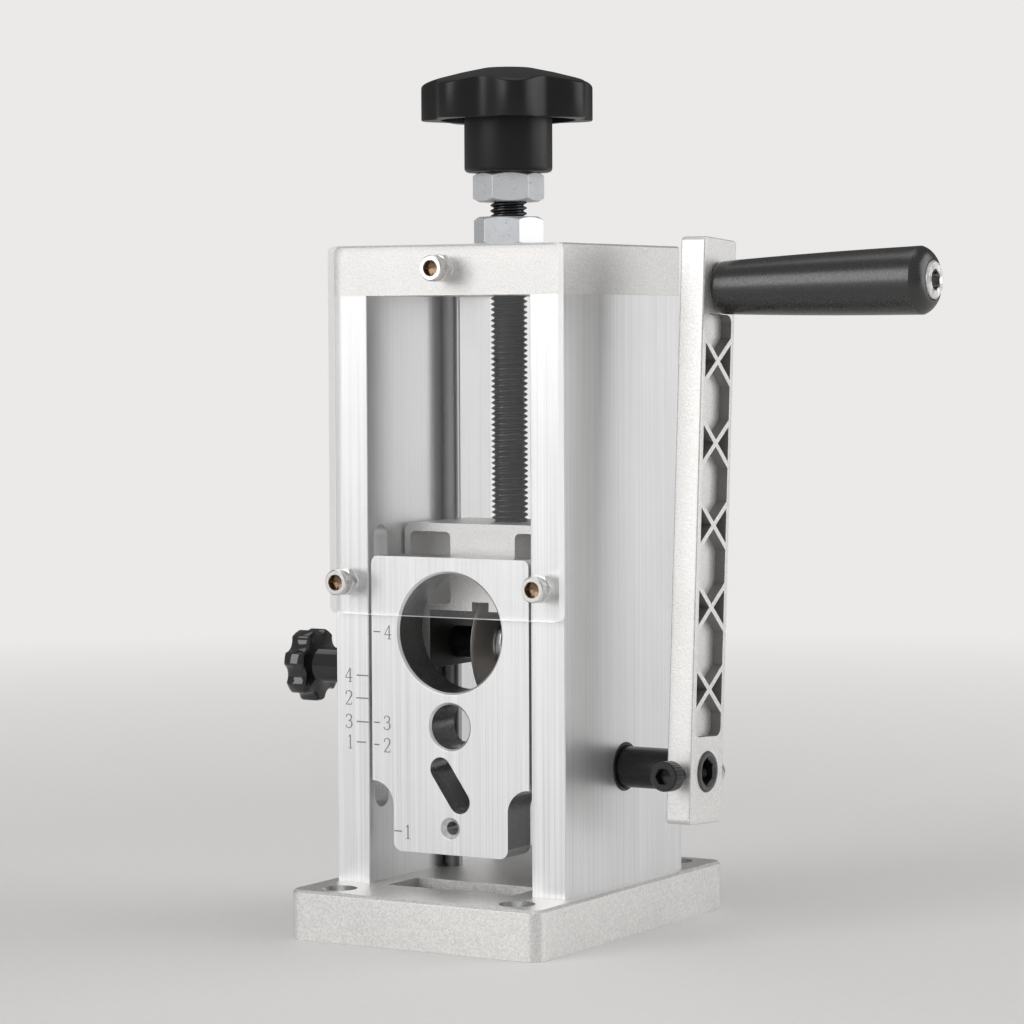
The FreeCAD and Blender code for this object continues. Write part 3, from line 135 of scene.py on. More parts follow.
def finish(name, colour, rough, metallic=0.0, grain=1500, stretch=(1, 1, 1), shade=0.05,
           swing=0.04, relief=0.0, blotch=45, patch=0.05, streak=0.0, **sockets):
    """A surface with fine grain, broad patches, streaks and a light relief."""
    made = bpy.data.materials.new(name)
    made.use_nodes = True
    tree = made.node_tree
    shader = tree.nodes["Principled BSDF"]
    shader.inputs["Metallic"].default_value = metallic
    for key, value in sockets.items():
        shader.inputs[key.replace("_", " ")].default_value = value
    fine = field(tree, grain, stretch)
    broad = field(tree, blotch, detail=4.0)
    near = blend(tree, spread(tree, fine, 0, 1), scaled(colour, 1 - shade), scaled(colour, 1 + shade))
    worn = add(tree, "HueSaturation")
    tree.links.new(near, worn.inputs["Color"])
    tree.links.new(spread(tree, broad, 1 - patch, 1 + patch), worn.inputs["Value"])
    if streak:
        wide = field(tree, grain * 0.4, stretch, detail=2.0, shift=(3, 5, 7))
        drawn = add(tree, "HueSaturation")
        tree.links.new(worn.outputs["Color"], drawn.inputs["Color"])
        tree.links.new(spread(tree, wide, 1 - streak, 1 + streak), drawn.inputs["Value"])
        worn = drawn
    tree.links.new(worn.outputs["Color"], shader.inputs["Base Color"])
    tree.links.new(spread(tree, fine, rough - swing, rough + swing), shader.inputs["Roughness"])
    if relief:
        raised = add(tree, "Bump", Strength=1.0, Distance=relief * MM)
        tree.links.new(fine, raised.inputs["Height"])
        tree.links.new(raised.outputs["Normal"], shader.inputs["Normal"])
    MATERIALS[name] = made
    return made


finish("cast_aluminium", (0.77, 0.76, 0.745), 0.45, 0.7, grain=1900, shade=0.13, swing=0.1,
       relief=0.05, patch=0.04, blotch=25)
# A dark grey painted on the walls of the crank arm's cells as their shade
finish("cast_painted_shade", (0.26, 0.255, 0.25), 0.6, 0.3, grain=2300, shade=0.12, swing=0.06,
       relief=0.03)
# A machined finish whose colour is darkened as painted shade, for hole walls and sockets
finish("machined_painted_shade", (0.4, 0.4, 0.405), 0.3, 0.9, grain=900, stretch=(1, 8, 1), shade=0.08,
       swing=0.05, relief=0.004)
# Dark amber painted in the cover screws' sockets as a painted reflection of the floor and painted
# shade
finish("socket_painted_reflection", (0.21, 0.14, 0.085), 0.22, 0.9, grain=900, shade=0.1, swing=0.05)
# Near black painted on the fork's inner walls and roof as their shade
finish("fork_painted_shade", (0.035, 0.034, 0.033), 0.5, 0.3, grain=1300, shade=0.2, swing=0.06)
finish("rod_steel", (0.34, 0.34, 0.35), 0.3, 1.0, grain=2600, shade=0.04, swing=0.02)
# A dark grey-black for the drive shaft's outer end face
finish("end_face_black", (0.11, 0.11, 0.112), 0.36, 0.7, grain=1600, shade=0.25, swing=0.08,
       relief=0.005)
finish("satin_steel", (0.82, 0.81, 0.79), 0.33, 0.65, grain=900, shade=0.04, swing=0.04,
       relief=0.002)
finish("thread_black", (0.05, 0.05, 0.053), 0.2, 0.8, grain=1600, shade=0.2, swing=0.05)
finish("brushed_aluminium", (0.8, 0.8, 0.805), 0.34, 0.78, grain=50, stretch=(62, 62, 0.25),
       shade=0.08, swing=0.06, relief=0.006, patch=0.02, streak=0.03)
finish("zinc_steel", (0.8, 0.825, 0.85), 0.3, 0.5, grain=700, shade=0.02, swing=0.03,
       relief=0.002, patch=0.02)
finish("bright_steel", (0.78, 0.765, 0.75), 0.2, 0.95, grain=900, shade=0.03, swing=0.03,
       relief=0.002)
finish("polished_steel", (0.66, 0.66, 0.67), 0.13, 1.0, grain=500, shade=0.03, swing=0.03,
       relief=0.001)
finish("blade_steel", (0.6, 0.56, 0.52), 0.4, 0.75, grain=2000, shade=0.04, swing=0.03,
       relief=0.001, patch=0.03)
finish("black_oxide", (0.022, 0.022, 0.024), 0.33, 0.5, grain=1600, shade=0.2, swing=0.07,
       relief=0.005, patch=0.12)
finish("matte_black", (0.0055, 0.0055, 0.006), 0.36, grain=2400, shade=0.15, swing=0.05,
       relief=0.006, patch=0.08, Specular_IOR_Level=0.35)
finish("gloss_black", (0.006, 0.006, 0.007), 0.1, grain=900, shade=0.1, swing=0.02,
       relief=0.001, Coat_Weight=0.5, Coat_Roughness=0.06)
finish("grip_black", (0.009, 0.0087, 0.0085), 0.29, grain=1700, shade=0.15, swing=0.06,
       relief=0.008, patch=0.08, Specular_IOR_Level=0.85)
finish("brass", (0.62, 0.45, 0.2), 0.3, 1.0, grain=800)
finish("bronze", (0.42, 0.3, 0.17), 0.42, 1.0, grain=900, relief=0.01)
finish("mark_ink", (0.27, 0.22, 0.2), 0.6, grain=2500, shade=0.2, swing=0.1)


ACRYLIC_IOR = 1.49


def acrylic(name, colour, share, rough, glow=0.0):
    """A see-through finish: the share is how much of it covers what lies behind, and the glow is
    painted light given off though the finish is no lamp.
    """
    made = bpy.data.materials.new(name)
    made.use_nodes = True
    tree = made.node_tree
    shader = tree.nodes["Principled BSDF"]
    shader.inputs["IOR"].default_value = ACRYLIC_IOR
    shader.inputs["Emission Color"].default_value = (1, 1, 1, 1)
    shader.inputs["Emission Strength"].default_value = glow
    shader.inputs["Base Color"].default_value = (*colour, 1)
    haze = field(tree, 30, detail=4.0)
    tree.links.new(spread(tree, haze, rough, rough + 0.05), shader.inputs["Roughness"])
    tree.links.new(spread(tree, haze, share * 0.9, share * 1.1), shader.inputs["Alpha"])
    MATERIALS[name] = made


acrylic("clear_acrylic", (0.93, 0.94, 0.95), 0.035, 0.03)
# The cover's cut edges get a painted glow
acrylic("acrylic_edge_painted_glow", (0.86, 0.87, 0.87), 0.8, 0.2, glow=0.22)

for node, item in frame["nodes"].items():
    for holder in item.material_slots:
        holder.material = MATERIALS[SLOT_OF[node]]


# Meshes

def settle(mesh, made, sharp):
    """Write a mesh with its normals outwards and its sharp edges marked."""
    bmesh.ops.recalc_face_normals(made, faces=made.faces)
    for face in made.faces:
        face.smooth = True
    for edge in made.edges:
        edge.smooth = len(edge.link_faces) == 2 and edge.calc_face_angle(0) < math.radians(sharp)
    made.to_mesh(mesh)
    made.free()


def piece(name, body, slot, shapes, *nodes, place=None, sharp=SHARP, edge=0.0):
    """A detailed piece from (vertices, faces) in millimetres, in place of the given nodes."""
    mesh = bpy.data.meshes.new(name)
    made = bmesh.new()
    for vertices, faces in shapes:
        held = [made.verts.new(Vector(point) * MM) for point in vertices]
        for face in faces:
            made.faces.new([held[n] for n in face])
    if place is not None:
        bmesh.ops.transform(made, matrix=place, verts=made.verts)
    settle(mesh, made, sharp)
    return dress(bpy.data.objects.new(name, mesh), body, slot, nodes, edge)


def dress(item, body, slot, nodes, edge):
    """Link a piece, give it its finish and body, and soften its edges.
    """
    bpy.context.scene.collection.objects.link(item)
    if not item.data.materials:
        item.data.materials.append(MATERIALS[slot])
    if edge:
        soft = item.modifiers.new("soft_edge", "BEVEL")
        soft.width = edge * MM
        soft.segments = 2
        soft.limit_method = "ANGLE"
        soft.angle_limit = math.radians(BEVEL_FROM)
        soft.harden_normals = True
        soft.use_clamp_overlap = True
    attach(item, body)
    if nodes:
        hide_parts(*nodes)
    return item


# How near corners merge, in millimetres, and how flat faces join, in degrees
MERGE, FLAT = 0.002, 0.4


def refined(node, edge):
    """The node's own form with soft edges."""
    source = frame["nodes"][node]
    made = bmesh.new()
    made.from_mesh(source.data)
    bmesh.ops.remove_doubles(made, verts=made.verts, dist=MERGE * MM)
    bmesh.ops.dissolve_limit(made, angle_limit=math.radians(FLAT), verts=made.verts,
                             edges=made.edges)
    mesh = bpy.data.meshes.new(node + "_form")
    for face in made.faces:
        face.material_index = 0
    settle(mesh, made, SHARP)
    item = bpy.data.objects.new(node + "_form", mesh)
    return dress(item, BODY_OF[node], SLOT_OF[node], [node], edge)


def turned(profile, steps=64, form=None, closed=False):
    """Turn (radius, height) points about Z; a point on the axis closes an end.

    A form moves each point: it gets angle, radius, height and the point's number.
    """
    vertices, faces, rings = [], [], []
    for number, (radius, height) in enumerate(profile):
        ring = []
        for step in range(steps if radius else 1):
            angle = TURN * step / steps
            far, up = radius, height
            if form and radius:
                far, up = form(angle, radius, height, number)
            ring.append(len(vertices))
            vertices.append((far * math.cos(angle), far * math.sin(angle), up))
        rings.append(ring)
    pairs = list(zip(rings, rings[1:]))
    if closed:
        pairs.append((rings[-1], rings[0]))
    for low, high in pairs:
        for step in range(steps):
            after = (step + 1) % steps
            if len(low) == 1:
                faces.append((low[0], high[after], high[step]))
            elif len(high) == 1:
                faces.append((low[step], low[after], high[0]))
            else:
                faces.append((low[step], low[after], high[after], high[step]))
    return vertices, faces


def hexagonal(angle, flats):
    """How far a hexagon reaches at an angle, for a size across its flats."""
    part = angle % (TURN / 6) - TURN / 12
    return flats / 2 / math.cos(part)


# A nut's turned face over its size across flats, its corners' slope and its sides' steps
NUT_FACE, NUT_SLOPE, NUT_STEPS = 0.476, 29, 144
SOFT_MOUTH = 0.4


def hex_nut(flats, height, bore):
    """A nut with its corners turned off on both faces; points 2 and 3 go out to the hexagon."""
    face = flats * NUT_FACE
    bevel = min(SOFT_MOUTH, (face - bore) / 3)

    def form(angle, radius, up, number):
        if number not in (2, 3):
            return radius, up
        reach = hexagonal(angle, flats)
        drop = (reach - face) * math.tan(math.radians(NUT_SLOPE))
        return reach, (drop if number == 2 else height - drop)

    profile = [(bore + bevel, 0), (face, 0), (flats, 1), (flats, height - 1), (face, height),
               (bore + bevel, height), (bore, height - bevel), (bore, bevel)]
    return turned(profile, NUT_STEPS, form, closed=True)


KNURL = 0.16


def socket_screw(head, tall, key, deep, stem, long, teeth=0, steps=96):
    """A screw head up +Z from its seat at 0, with a hex socket and a stem.

    head and stem are radii, key is the socket's size across flats, and teeth are the knurls.
    """
    edge = min(SOFT_MOUTH, tall * 0.12)
    profile = [(0, tall - deep - 0.5), (key, tall - deep), (key, tall - 0.15), (key + 0.5, tall),
               (head - edge, tall), (head, tall - edge), (head, 0.35), (head - 0.25, 0),
               (stem, 0), (stem, -long + 0.4), (stem - 0.4, -long), (0, -long)]

    def form(angle, radius, up, number):
        if number in (1, 2):
            return hexagonal(angle, key), up
        if number == 3:
            return max(hexagonal(angle, key), key * 0.56), up
        if teeth and number in (5, 6):
            wave = abs((angle * teeth / TURN) % 1 - 0.5) * 2
            return radius - KNURL * wave, up
        return radius, up

    return turned(profile, steps, form)


def threaded(low, high, crest, pitch, steps=48):
    """A right-hand thread as one long helical skin, from (share of the pitch, radius)."""
    root = crest - 0.6 * pitch
    section = [(0.0, root), (0.12, root), (0.44, crest - 0.03), (0.5, crest), (0.62, crest),
               (0.68, crest - 0.03)]
    vertices, faces = [], []
    rows = []
    turns = int((high - low) / pitch) + 2
    for turn in range(turns):
        for share, radius in section:
            row = []
            for step in range(steps + 1):
                angle = TURN * step / steps
                up = low + (turn - 1 + share + step / steps) * pitch
                row.append(len(vertices))
                vertices.append((radius * math.cos(angle), radius * math.sin(angle),
                                 min(max(up, low), high)))
            rows.append(row)
    for below, above in zip(rows, rows[1:]):
        for step in range(steps):
            quad = (below[step], below[step + 1], above[step + 1], above[step])
            heights = {round(vertices[n][2], 6) for n in quad}
            if len(heights) > 1:
                faces.append(quad)
    return vertices, faces


def smooth_line(points, count):
    """A smooth line through points, with so many steps from each to the next."""
    line = []
    ends = [points[0]] + list(points) + [points[-1]]
    for before, here, there, after in zip(ends, ends[1:], ends[2:], ends[3:]):
        for step in range(count):
            t = step / count
            point = []
            for a, b, c, d in zip(before, here, there, after):
                point.append(0.5 * (2 * b + (c - a) * t + (2 * a - 5 * b + 4 * c - d) * t * t
                                    + (3 * b - a - 3 * c + d) * t ** 3))
            line.append(tuple(point))
    return line + [points[-1]]


def lobed(rim, dip, curve, count, soft):
    """How a star knob's rim goes in and out round the axis."""
    across = rim + curve - dip

    def reach(angle):
        part = (angle + math.pi / count) % (TURN / count) - math.pi / count
        inside = curve ** 2 - (across * math.sin(part)) ** 2
        if inside <= 0:
            return rim
        hollow = across * math.cos(part) - math.sqrt(inside)
        share = max(0.0, min(1.0, 0.5 + (hollow - rim) / (2 * soft)))
        return hollow * (1 - share) + rim * share - soft * share * (1 - share)

    return reach


UP_TO_LEFT = Matrix.Rotation(math.radians(-90), 4, "Y")
UP_TO_RIGHT = Matrix.Rotation(math.radians(90), 4, "Y")
UP_TO_FRONT = Matrix.Rotation(math.radians(90), 4, "X")
UP_TO_BACK = Matrix.Rotation(math.radians(-90), 4, "X")


def spot(x=0.0, y=0.0, z=0.0):
    """A shift in millimetres."""
    return Matrix.Translation(Vector((x, y, z)) * MM)


def about_up(angle):
    """A turn about Z in degrees."""
    return Matrix.Rotation(math.radians(angle), 4, "Z")


LEAN = (spot(z=SHAFT_HEIGHT) @ Matrix.Rotation(math.radians(-ARM_LEAN), 4, "X")
        @ spot(z=-SHAFT_HEIGHT))


# Nodes that keep their own form, and the width of their soft edges in millimetres
SOFT_EDGES = {
    "base_plate": 0.3, "left_side_plate": 0.15, "right_side_plate": 0.15, "top_cap": 0.25,
    "blade_carriage": 0.35, "guide_plate": 0.25, "screw_retainer": 0.2, "blade_hub": 0.2,
    "axle_spacers": 0.2, "drive_shaft": 0.2, "left_shaft_bush": 0.2, "right_shaft_bush": 0.2,
    "base_screws": 0.1, "cap_screws": 0.1, "shaft_retaining_ring": 0.1,
    "left_guide_rod": 0.3, "right_guide_rod": 0.3,
}
forms = {node: refined(node, edge) for node, edge in SOFT_EDGES.items()}


def tint(item, slot, chosen):
    """Give the faces that a test picks, by middle and normal in millimetres, another finish."""
    item.data.materials.append(MATERIALS[slot])
    for face in item.data.polygons:
        if chosen(face.center / MM, face.normal):
            face.material_index = len(item.data.materials) - 1


# Half the width and the heights of the guide plate within which hole walls get painted shade
HOLES_SIDE, HOLES_FOOT, HOLES_HEAD = 20, 30, 103


def in_plate_hole(here, normal):
    inner = abs(here.x) < HOLES_SIDE and HOLES_FOOT < here.z < HOLES_HEAD
    return abs(normal.y) < 0.6 and inner


def in_fork(here, normal):
    """The fork's inner walls and its roof, where no light reaches; they get painted shade."""
    inside = abs(here.x) < FORK_INSIDE / 2 + 0.1 and here.z < FORK_TOP + 0.1
    return inside and (abs(normal.x) > 0.9 or normal.z < -0.5)


def in_base_hole(here, normal):
    """The sinks and walls of the four mounting holes, which get painted shade."""
    from_hole = math.hypot(abs(here.x) - MOUNT_X, abs(here.y) - MOUNT_Y)
    return from_hole < 5 and normal.z < 0.95


def shaft_end(here, normal):
    return normal.x > 0.6 and here.x > ARM_OUTSIDE


# The guide plate's hole walls get the darkened machined finish as painted shade
tint(forms["guide_plate"], "machined_painted_shade", in_plate_hole)
# The fork's inner walls and roof get the painted shade
tint(forms["blade_carriage"], "fork_painted_shade", in_fork)
# The mounting holes' sinks and walls get painted shade
tint(forms["base_plate"], "machined_painted_shade", in_base_hole)
# The drive shaft's outer end face gets the dark grey-black
tint(forms["drive_shaft"], "end_face_black", shaft_end)
for node, finish_name in (("left_guide_rod", "rod_steel"), ("right_guide_rod", "rod_steel"),
                          ("axle_spacers", "black_oxide")):
    forms[node].material_slots[0].material = MATERIALS[finish_name]

# Crank arm, with painted shade on the walls of its cells, darker than its blasted faces
arm_turn = LEAN.inverted()


def in_arm_cell(here, normal):
    there = Vector(arm_turn @ (here * MM)) / MM
    up = there.z - SHAFT_HEIGHT
    across = abs((arm_turn.to_3x3() @ normal).x) < 0.5
    inner = abs(there.y) < TRUSS_WIDTH / 2 + 0.1 and TRUSS_FOOT - 0.1 < up < TRUSS_HEAD + 0.1
    return across and inner and there.x > ARM_INSIDE + 2


# The walls of the arm's cells get the painted shade
tint(refined("crank_arm", 0.2), "cast_painted_shade", in_arm_cell)


CORNER_STEPS, HOLE_STEPS = 10, 48


def sheet(wide, high, corner, holes, thick):
    """A flat sheet in XZ with round corners and holes, its front at y = 0."""
    outline = []
    for number, (sx, sz) in enumerate(((1, 1), (-1, 1), (-1, -1), (1, -1))):
        for step in range(CORNER_STEPS + 1):
            angle = TURN / 4 * (number + step / CORNER_STEPS)
            outline.append((sx * (wide / 2 - corner) + corner * math.cos(angle),
                            sz * (high / 2 - corner) + corner * math.sin(angle)))
    rings = [outline]
    angles = [TURN * step / HOLE_STEPS for step in range(HOLE_STEPS)]
    for x, z, radius in holes:
        rings.append([(x + radius * math.cos(angle), z + radius * math.sin(angle))
                      for angle in angles])
    made = bmesh.new()
    flat_edges = []
    for ring in rings:
        held = [made.verts.new((x, 0, z)) for x, z in ring]
        flat_edges += [made.edges.new((here, there))
                       for here, there in zip(held, held[1:] + held[:1])]
    filled = bmesh.ops.triangle_fill(made, edges=flat_edges, use_beauty=True)
    faces = [item for item in filled["geom"] if isinstance(item, bmesh.types.BMFace)]
    grown = bmesh.ops.extrude_face_region(made, geom=faces)["geom"]
    bmesh.ops.translate(made, vec=(0, thick, 0),
                        verts=[item for item in grown if isinstance(item, bmesh.types.BMVert)])
    bmesh.ops.transform(made, matrix=Matrix.Scale(MM, 4), verts=made.verts)
    return made


# Clear cover: its back stays 0.06 mm clear of the plates, or its faces would flicker with theirs
COVER_TOP, COVER_HEIGHT, COVER_FRONT, COVER_THICK = 186.5, 99.5, -35.5, 2.94
COVER_CORNER, COVER_HOLE = 2.0, 2.18
COVER_SPOTS = ((0.0, 180.1), (-SIDE_MIDDLE, 95.8), (SIDE_MIDDLE, 95.8))
cover_middle = COVER_TOP - COVER_HEIGHT / 2
cover_holes = [(x, z - cover_middle, COVER_HOLE) for x, z in COVER_SPOTS]
made = sheet(2 * SIDE_OUT, COVER_HEIGHT, COVER_CORNER, cover_holes, COVER_THICK)
bmesh.ops.transform(made, matrix=spot(0, COVER_FRONT, cover_middle), verts=made.verts)
cover_mesh = bpy.data.meshes.new("window_sheet")
settle(cover_mesh, made, 20)
dress(bpy.data.objects.new("window_sheet", cover_mesh), "housing", "clear_acrylic",
      ["window_cover"], 0)
# The sheet's edges take the finish with the painted glow
cover_mesh.materials.append(MATERIALS["acrylic_edge_painted_glow"])
for face in cover_mesh.polygons:
    face.material_index = 0 if abs(face.normal.y) > 0.9 else 1
    face.use_smooth = abs(face.normal.y) < 0.9

# Lead screw with its nuts, by heights and radii; the retainer sits in the neck
LEAD_FOOT, NECK_LOW, NECK_HIGH, THREAD_LOW, LEAD_TOP = 99.8, 103.1, 105.9, 106.1, 223.65
THREAD_START, THREAD_END = 106.0, 223.6
LEAD, LEAD_CORE, LEAD_NECK, LEAD_PITCH = 5.0, 3.9, 3.5, 1.5
NUT_FLATS, NUT_HEIGHT = 17, 8
LOCK_NUT_SEAT, LOCK_NUT_TURN = 186.55, 17.6
JAM_NUT_SEAT, JAM_NUT_TURN = 198.65, 33.6
screw_core = turned([
    (0, LEAD_FOOT), (4.25, LEAD_FOOT), (LEAD, 100.55), (LEAD, NECK_LOW), (LEAD_NECK, NECK_LOW),
    (LEAD_NECK, NECK_HIGH), (LEAD, NECK_HIGH), (LEAD, THREAD_LOW), (LEAD_CORE, THREAD_LOW),
    (LEAD_CORE, LEAD_TOP), (0, LEAD_TOP)])
lead_screw = piece("lead_screw_thread", "lead_screw", "black_oxide",
                   [screw_core, threaded(THREAD_START, THREAD_END, LEAD, LEAD_PITCH)],
                   "lead_screw")
tint(lead_screw, "thread_black", lambda here, normal: here.z > THREAD_LOW)
piece("lock_nut_hex", "lock_nut", "zinc_steel", [hex_nut(NUT_FLATS, NUT_HEIGHT, 5.06)],
      "lock_nut", place=spot(z=LOCK_NUT_SEAT) @ about_up(LOCK_NUT_TURN), edge=0.12)
piece("jam_nut_hex", "lead_screw", "zinc_steel", [hex_nut(NUT_FLATS, NUT_HEIGHT, 5.02)],
      "jam_nut", place=spot(z=JAM_NUT_SEAT) @ about_up(JAM_NUT_TURN), edge=0.12)

# Adjusting knob: its lobes begin at KNOB_INNER, and its dome is (radius, height)
KNOB_TOP, KNOB_INNER, KNOB_RIM, KNOB_DIP, KNOB_LOBES, KNOB_TURN = 28.4, 19, 24.0, 3.7, 7, -54.8
DOME = ((0.0, KNOB_TOP), (6.7, KNOB_TOP), (13.1, 27.06), (19.2, 25.5), (22.0, 24.6),
        (KNOB_RIM, 23.75))


def knob_reach(angle):
    """How far the rim goes out at an angle from a lobe's middle."""
    wave = (1 - math.cos(KNOB_LOBES * angle)) / 2
    return KNOB_RIM - KNOB_DIP * wave ** 1.15


def dome_height(radius):
    """The dome's height at a radius."""
    for (near, high), (far, low) in zip(DOME, DOME[1:]):
        if radius <= far:
            return high + (low - high) * (radius - near) / (far - near)
    return DOME[-1][1]


def knob_form(angle, radius, up, number):
    """Draw the rim in between the lobes; a height of -1 stands for the dome's own."""
    if radius <= KNOB_INNER:
        return radius, (up if up >= 0 else dome_height(radius))
    share = (radius - KNOB_INNER) / (KNOB_RIM - KNOB_INNER)
    far = KNOB_INNER + (knob_reach(angle) - KNOB_INNER) * share
    drop = max(0.0, -1 - up)
    return far, (up if up >= 0 else dome_height(far) - drop)


knob_dome = [(radius, -1) for radius in (22.9, 21.8, 20.4, 19, 17, 15, 13.1, 11, 9, 6.7, 3)]
knob_line = [(0, 16.6), (7.2, 16.6), (7.2, 0.3), (7.5, 0.0), (11.0, 0.0), (11.5, 0.15),
             (11.9, 0.55), (12.05, 1.1), (12.05, 19.2), (18.5, 19.2), (18.5, 14.3), (18.6, 14.2),
             (23.6, 14.2), (23.85, 14.28), (24.0, 14.6), (24.0, -1.75), (23.93, -1.38), (23.75, -1.16),
             (23.5, -1.04)] + knob_dome + [(0, KNOB_TOP)]
piece("adjusting_knob_star", "lead_screw", "matte_black", [turned(knob_line, 420, knob_form)],
      "adjusting_knob", place=spot(z=HUB_SEAT) @ about_up(KNOB_TURN), sharp=40)

# Lock knob
LOCK_RIM, LOCK_HUB, LOCK_RISE, LOCK_CLEAR = 10.0, 5.2, 4.2, 0.1
lock_reach = lobed(LOCK_RIM, 1.6, 3.6, 7, 0.35)
lock_line = [(0, 8.7), (3.1, 8.7), (3.1, 0.0), (4.3, 0.0), (4.7, 0.4), (4.7, 8.8), (4.9, 9.0),
             (8.6, 9.0), (9.5, 9.15), (10.0, 9.8), (10.0, 14.2), (9.6, 15.0), (8.8, 15.3),
             (6.0, 15.35), (0, 15.4)]


def lock_form(angle, radius, up, number):
    """Let the lobes grow from the hub outwards."""
    share = max(0.0, min(1.0, (radius - LOCK_HUB) / LOCK_RISE))
    return radius + (lock_reach(angle) - LOCK_RIM) * share ** 2, up


piece("lock_knob_star", "lock_knob", "gloss_black", [turned(lock_line, 196, lock_form)],
      "lock_knob", sharp=50,
      place=spot(-SIDE_OUT - LOCK_CLEAR, PLATE_MIDDLE, LOCK_HEIGHT) @ UP_TO_LEFT)

# Cover screws, each on a nut that stands on the cover
COVER_NUT, SCREW_SOCKET, SOCKET_FLOOR = 2.2, 2.2, -38.4
for number, (x, z) in enumerate(COVER_SPOTS):
    nodes = ("cover_screws", "cover_nuts") if number == 0 else ()
    screw = piece(f"cover_screw_{number}", "housing", "bright_steel",
                  [socket_screw(3.5, 3.2, 3.9, 2.2, 2.0, 7.6, teeth=36, steps=144)], *nodes[:1],
                  place=spot(x, COVER_FRONT - COVER_NUT, z) @ UP_TO_FRONT)
    # The socket's floor and walls get the painted reflection and shade
    tint(screw, "socket_painted_reflection", lambda here, normal: here.y < SOCKET_FLOOR
         and math.hypot(here.x - x, here.z - z) < SCREW_SOCKET)
    piece(f"cover_nut_{number}", "housing", "bright_steel", [hex_nut(7, COVER_NUT, 2.02)],
          *nodes[1:], place=spot(x, COVER_FRONT, z) @ UP_TO_FRONT, edge=0.06)

# Blade, ground on its right face only, and the nut on its left
BLADE_NUT_SIDE = -5.4
blade_line = [(5.02, -2.4), (16.8, -2.4), (17.4, -2.32), (18.0, -1.92), (18.0, -1.86),
              (17.4, -1.4), (17.2, -1.3), (10.7, 0.52), (10.4, 0.6), (5.02, 0.6)]
piece("round_blade_disc", "blade", "blade_steel", [turned(blade_line, 160, closed=True)],
      "round_blade", place=spot(z=BLADE_HEIGHT) @ UP_TO_RIGHT, sharp=14)
piece("blade_nut_hex", "blade", "polished_steel", [hex_nut(14, 3, 5.02)], "blade_hub_nut",
      place=spot(BLADE_NUT_SIDE, z=BLADE_HEIGHT) @ UP_TO_RIGHT, edge=0.1)

# Feed roller with straight teeth
ROLLER_TEETH, TOOTH_DEPTH, TOOTH_FROM = 44, 0.45, 6.9


def roller_form(angle, radius, up, number):
    """Cut the teeth into the outer radii, but not into the two end faces."""
    if radius < TOOTH_FROM or number in (1, 8):
        return radius, up
    wave = abs((angle * ROLLER_TEETH / TURN) % 1 - 0.5) * 2
    return radius - TOOTH_DEPTH * wave, up


roller_line = [(4.02, -9), (6.8, -9), (7.3, -8.5), (7.3, -1.2), (6.1, 0), (7.3, 1.2), (7.3, 8.5),
               (7.25, 8.52), (6.8, 9), (4.02, 9)]
piece("feed_roller_teeth", "crank", "polished_steel",
      [turned(roller_line, ROLLER_TEETH * 4, roller_form, closed=True)], "feed_roller",
      place=spot(z=SHAFT_HEIGHT) @ UP_TO_RIGHT, sharp=20)

# Clamp bolt and nut through the crank arm
CLAMP_X, CLAMP_Z = (ARM_INSIDE + ARM_OUTSIDE) / 2, SHAFT_HEIGHT - CLAMP_DROP
CLAMP_STAND, CLAMP_LONG, CLAMP_NUT, DOME_SEAT = 4.0, 25.6, 1.3, 1.2
piece("clamp_bolt_head", "crank", "black_oxide",
      [socket_screw(4.05, 5.0, 4.0, 3.0, 1.7, 4.2, teeth=30, steps=120),
       threaded(-CLAMP_LONG, 0.0, 2.0, 0.7, 32)], "clamp_bolt",
      place=LEAN @ spot(CLAMP_X, -ARM_WIDTH / 2 - CLAMP_STAND, CLAMP_Z) @ UP_TO_FRONT)
piece("clamp_nut_hex", "crank", "bright_steel", [hex_nut(7, CLAMP_NUT, 1.98)], "clamp_nut",
      place=LEAN @ spot(CLAMP_X, ARM_WIDTH / 2 + CLAMP_NUT, CLAMP_Z) @ UP_TO_FRONT, edge=0.08)
nut_dome = [(3.3, 0.0), (3.3, 1.0), (3.15, 1.5), (2.7, 1.85), (1.9, 2.05), (1.0, 2.16), (0, 2.2)]
piece("clamp_nut_dome", "crank", "satin_steel", [turned(nut_dome, 48)],
      place=LEAN @ spot(CLAMP_X, ARM_WIDTH / 2 + DOME_SEAT, CLAMP_Z) @ UP_TO_BACK, sharp=50)

# Grip on its bolt, tilted up about the middle of its seat
GRIP_BOLT_SEAT, GRIP_SOCKET_FOOT, GRIP_SOCKET = 56.3, 58, 2.8
grip_spot = (LEAN @ spot(ARM_OUTSIDE, 0, SHAFT_HEIGHT + CRANK_RADIUS)
             @ Matrix.Rotation(math.radians(-GRIP_TILT), 4, "Y")
             @ spot(GRIP_START - ARM_OUTSIDE) @ UP_TO_RIGHT)
grip_line = [(3.06, 0.0), (6.3, 0.0), (6.75, 0.12), (7.0, 0.5), (7.1, 1.2), (7.25, 4.0),
             (7.6, 12.0), (8.0, 22.0), (8.4, 34.0), (8.7, 46.0), (8.9, 56.0), (8.95, 58.2),
             (8.93, 58.4), (8.85, 58.55), (8.65, 59.0), (8.2, 59.7), (7.6, 60.35), (6.9, 60.9),
             (6.1, 61.3), (5.35, 61.45), (5.12, 61.3), (5.12, 56.2), (3.06, 56.2)]
piece("crank_grip_body", "grip", "grip_black", [turned(grip_line, 128, closed=True)],
      "crank_grip", place=grip_spot, sharp=35)
grip_bolt = piece("grip_bolt_socket", "crank", "satin_steel",
                  [socket_screw(5.0, 5.9, 5.0, 3.6, 3.0, 63.0)], "grip_bolt",
                  place=grip_spot @ spot(z=GRIP_BOLT_SEAT))
grip_back = grip_spot.inverted()


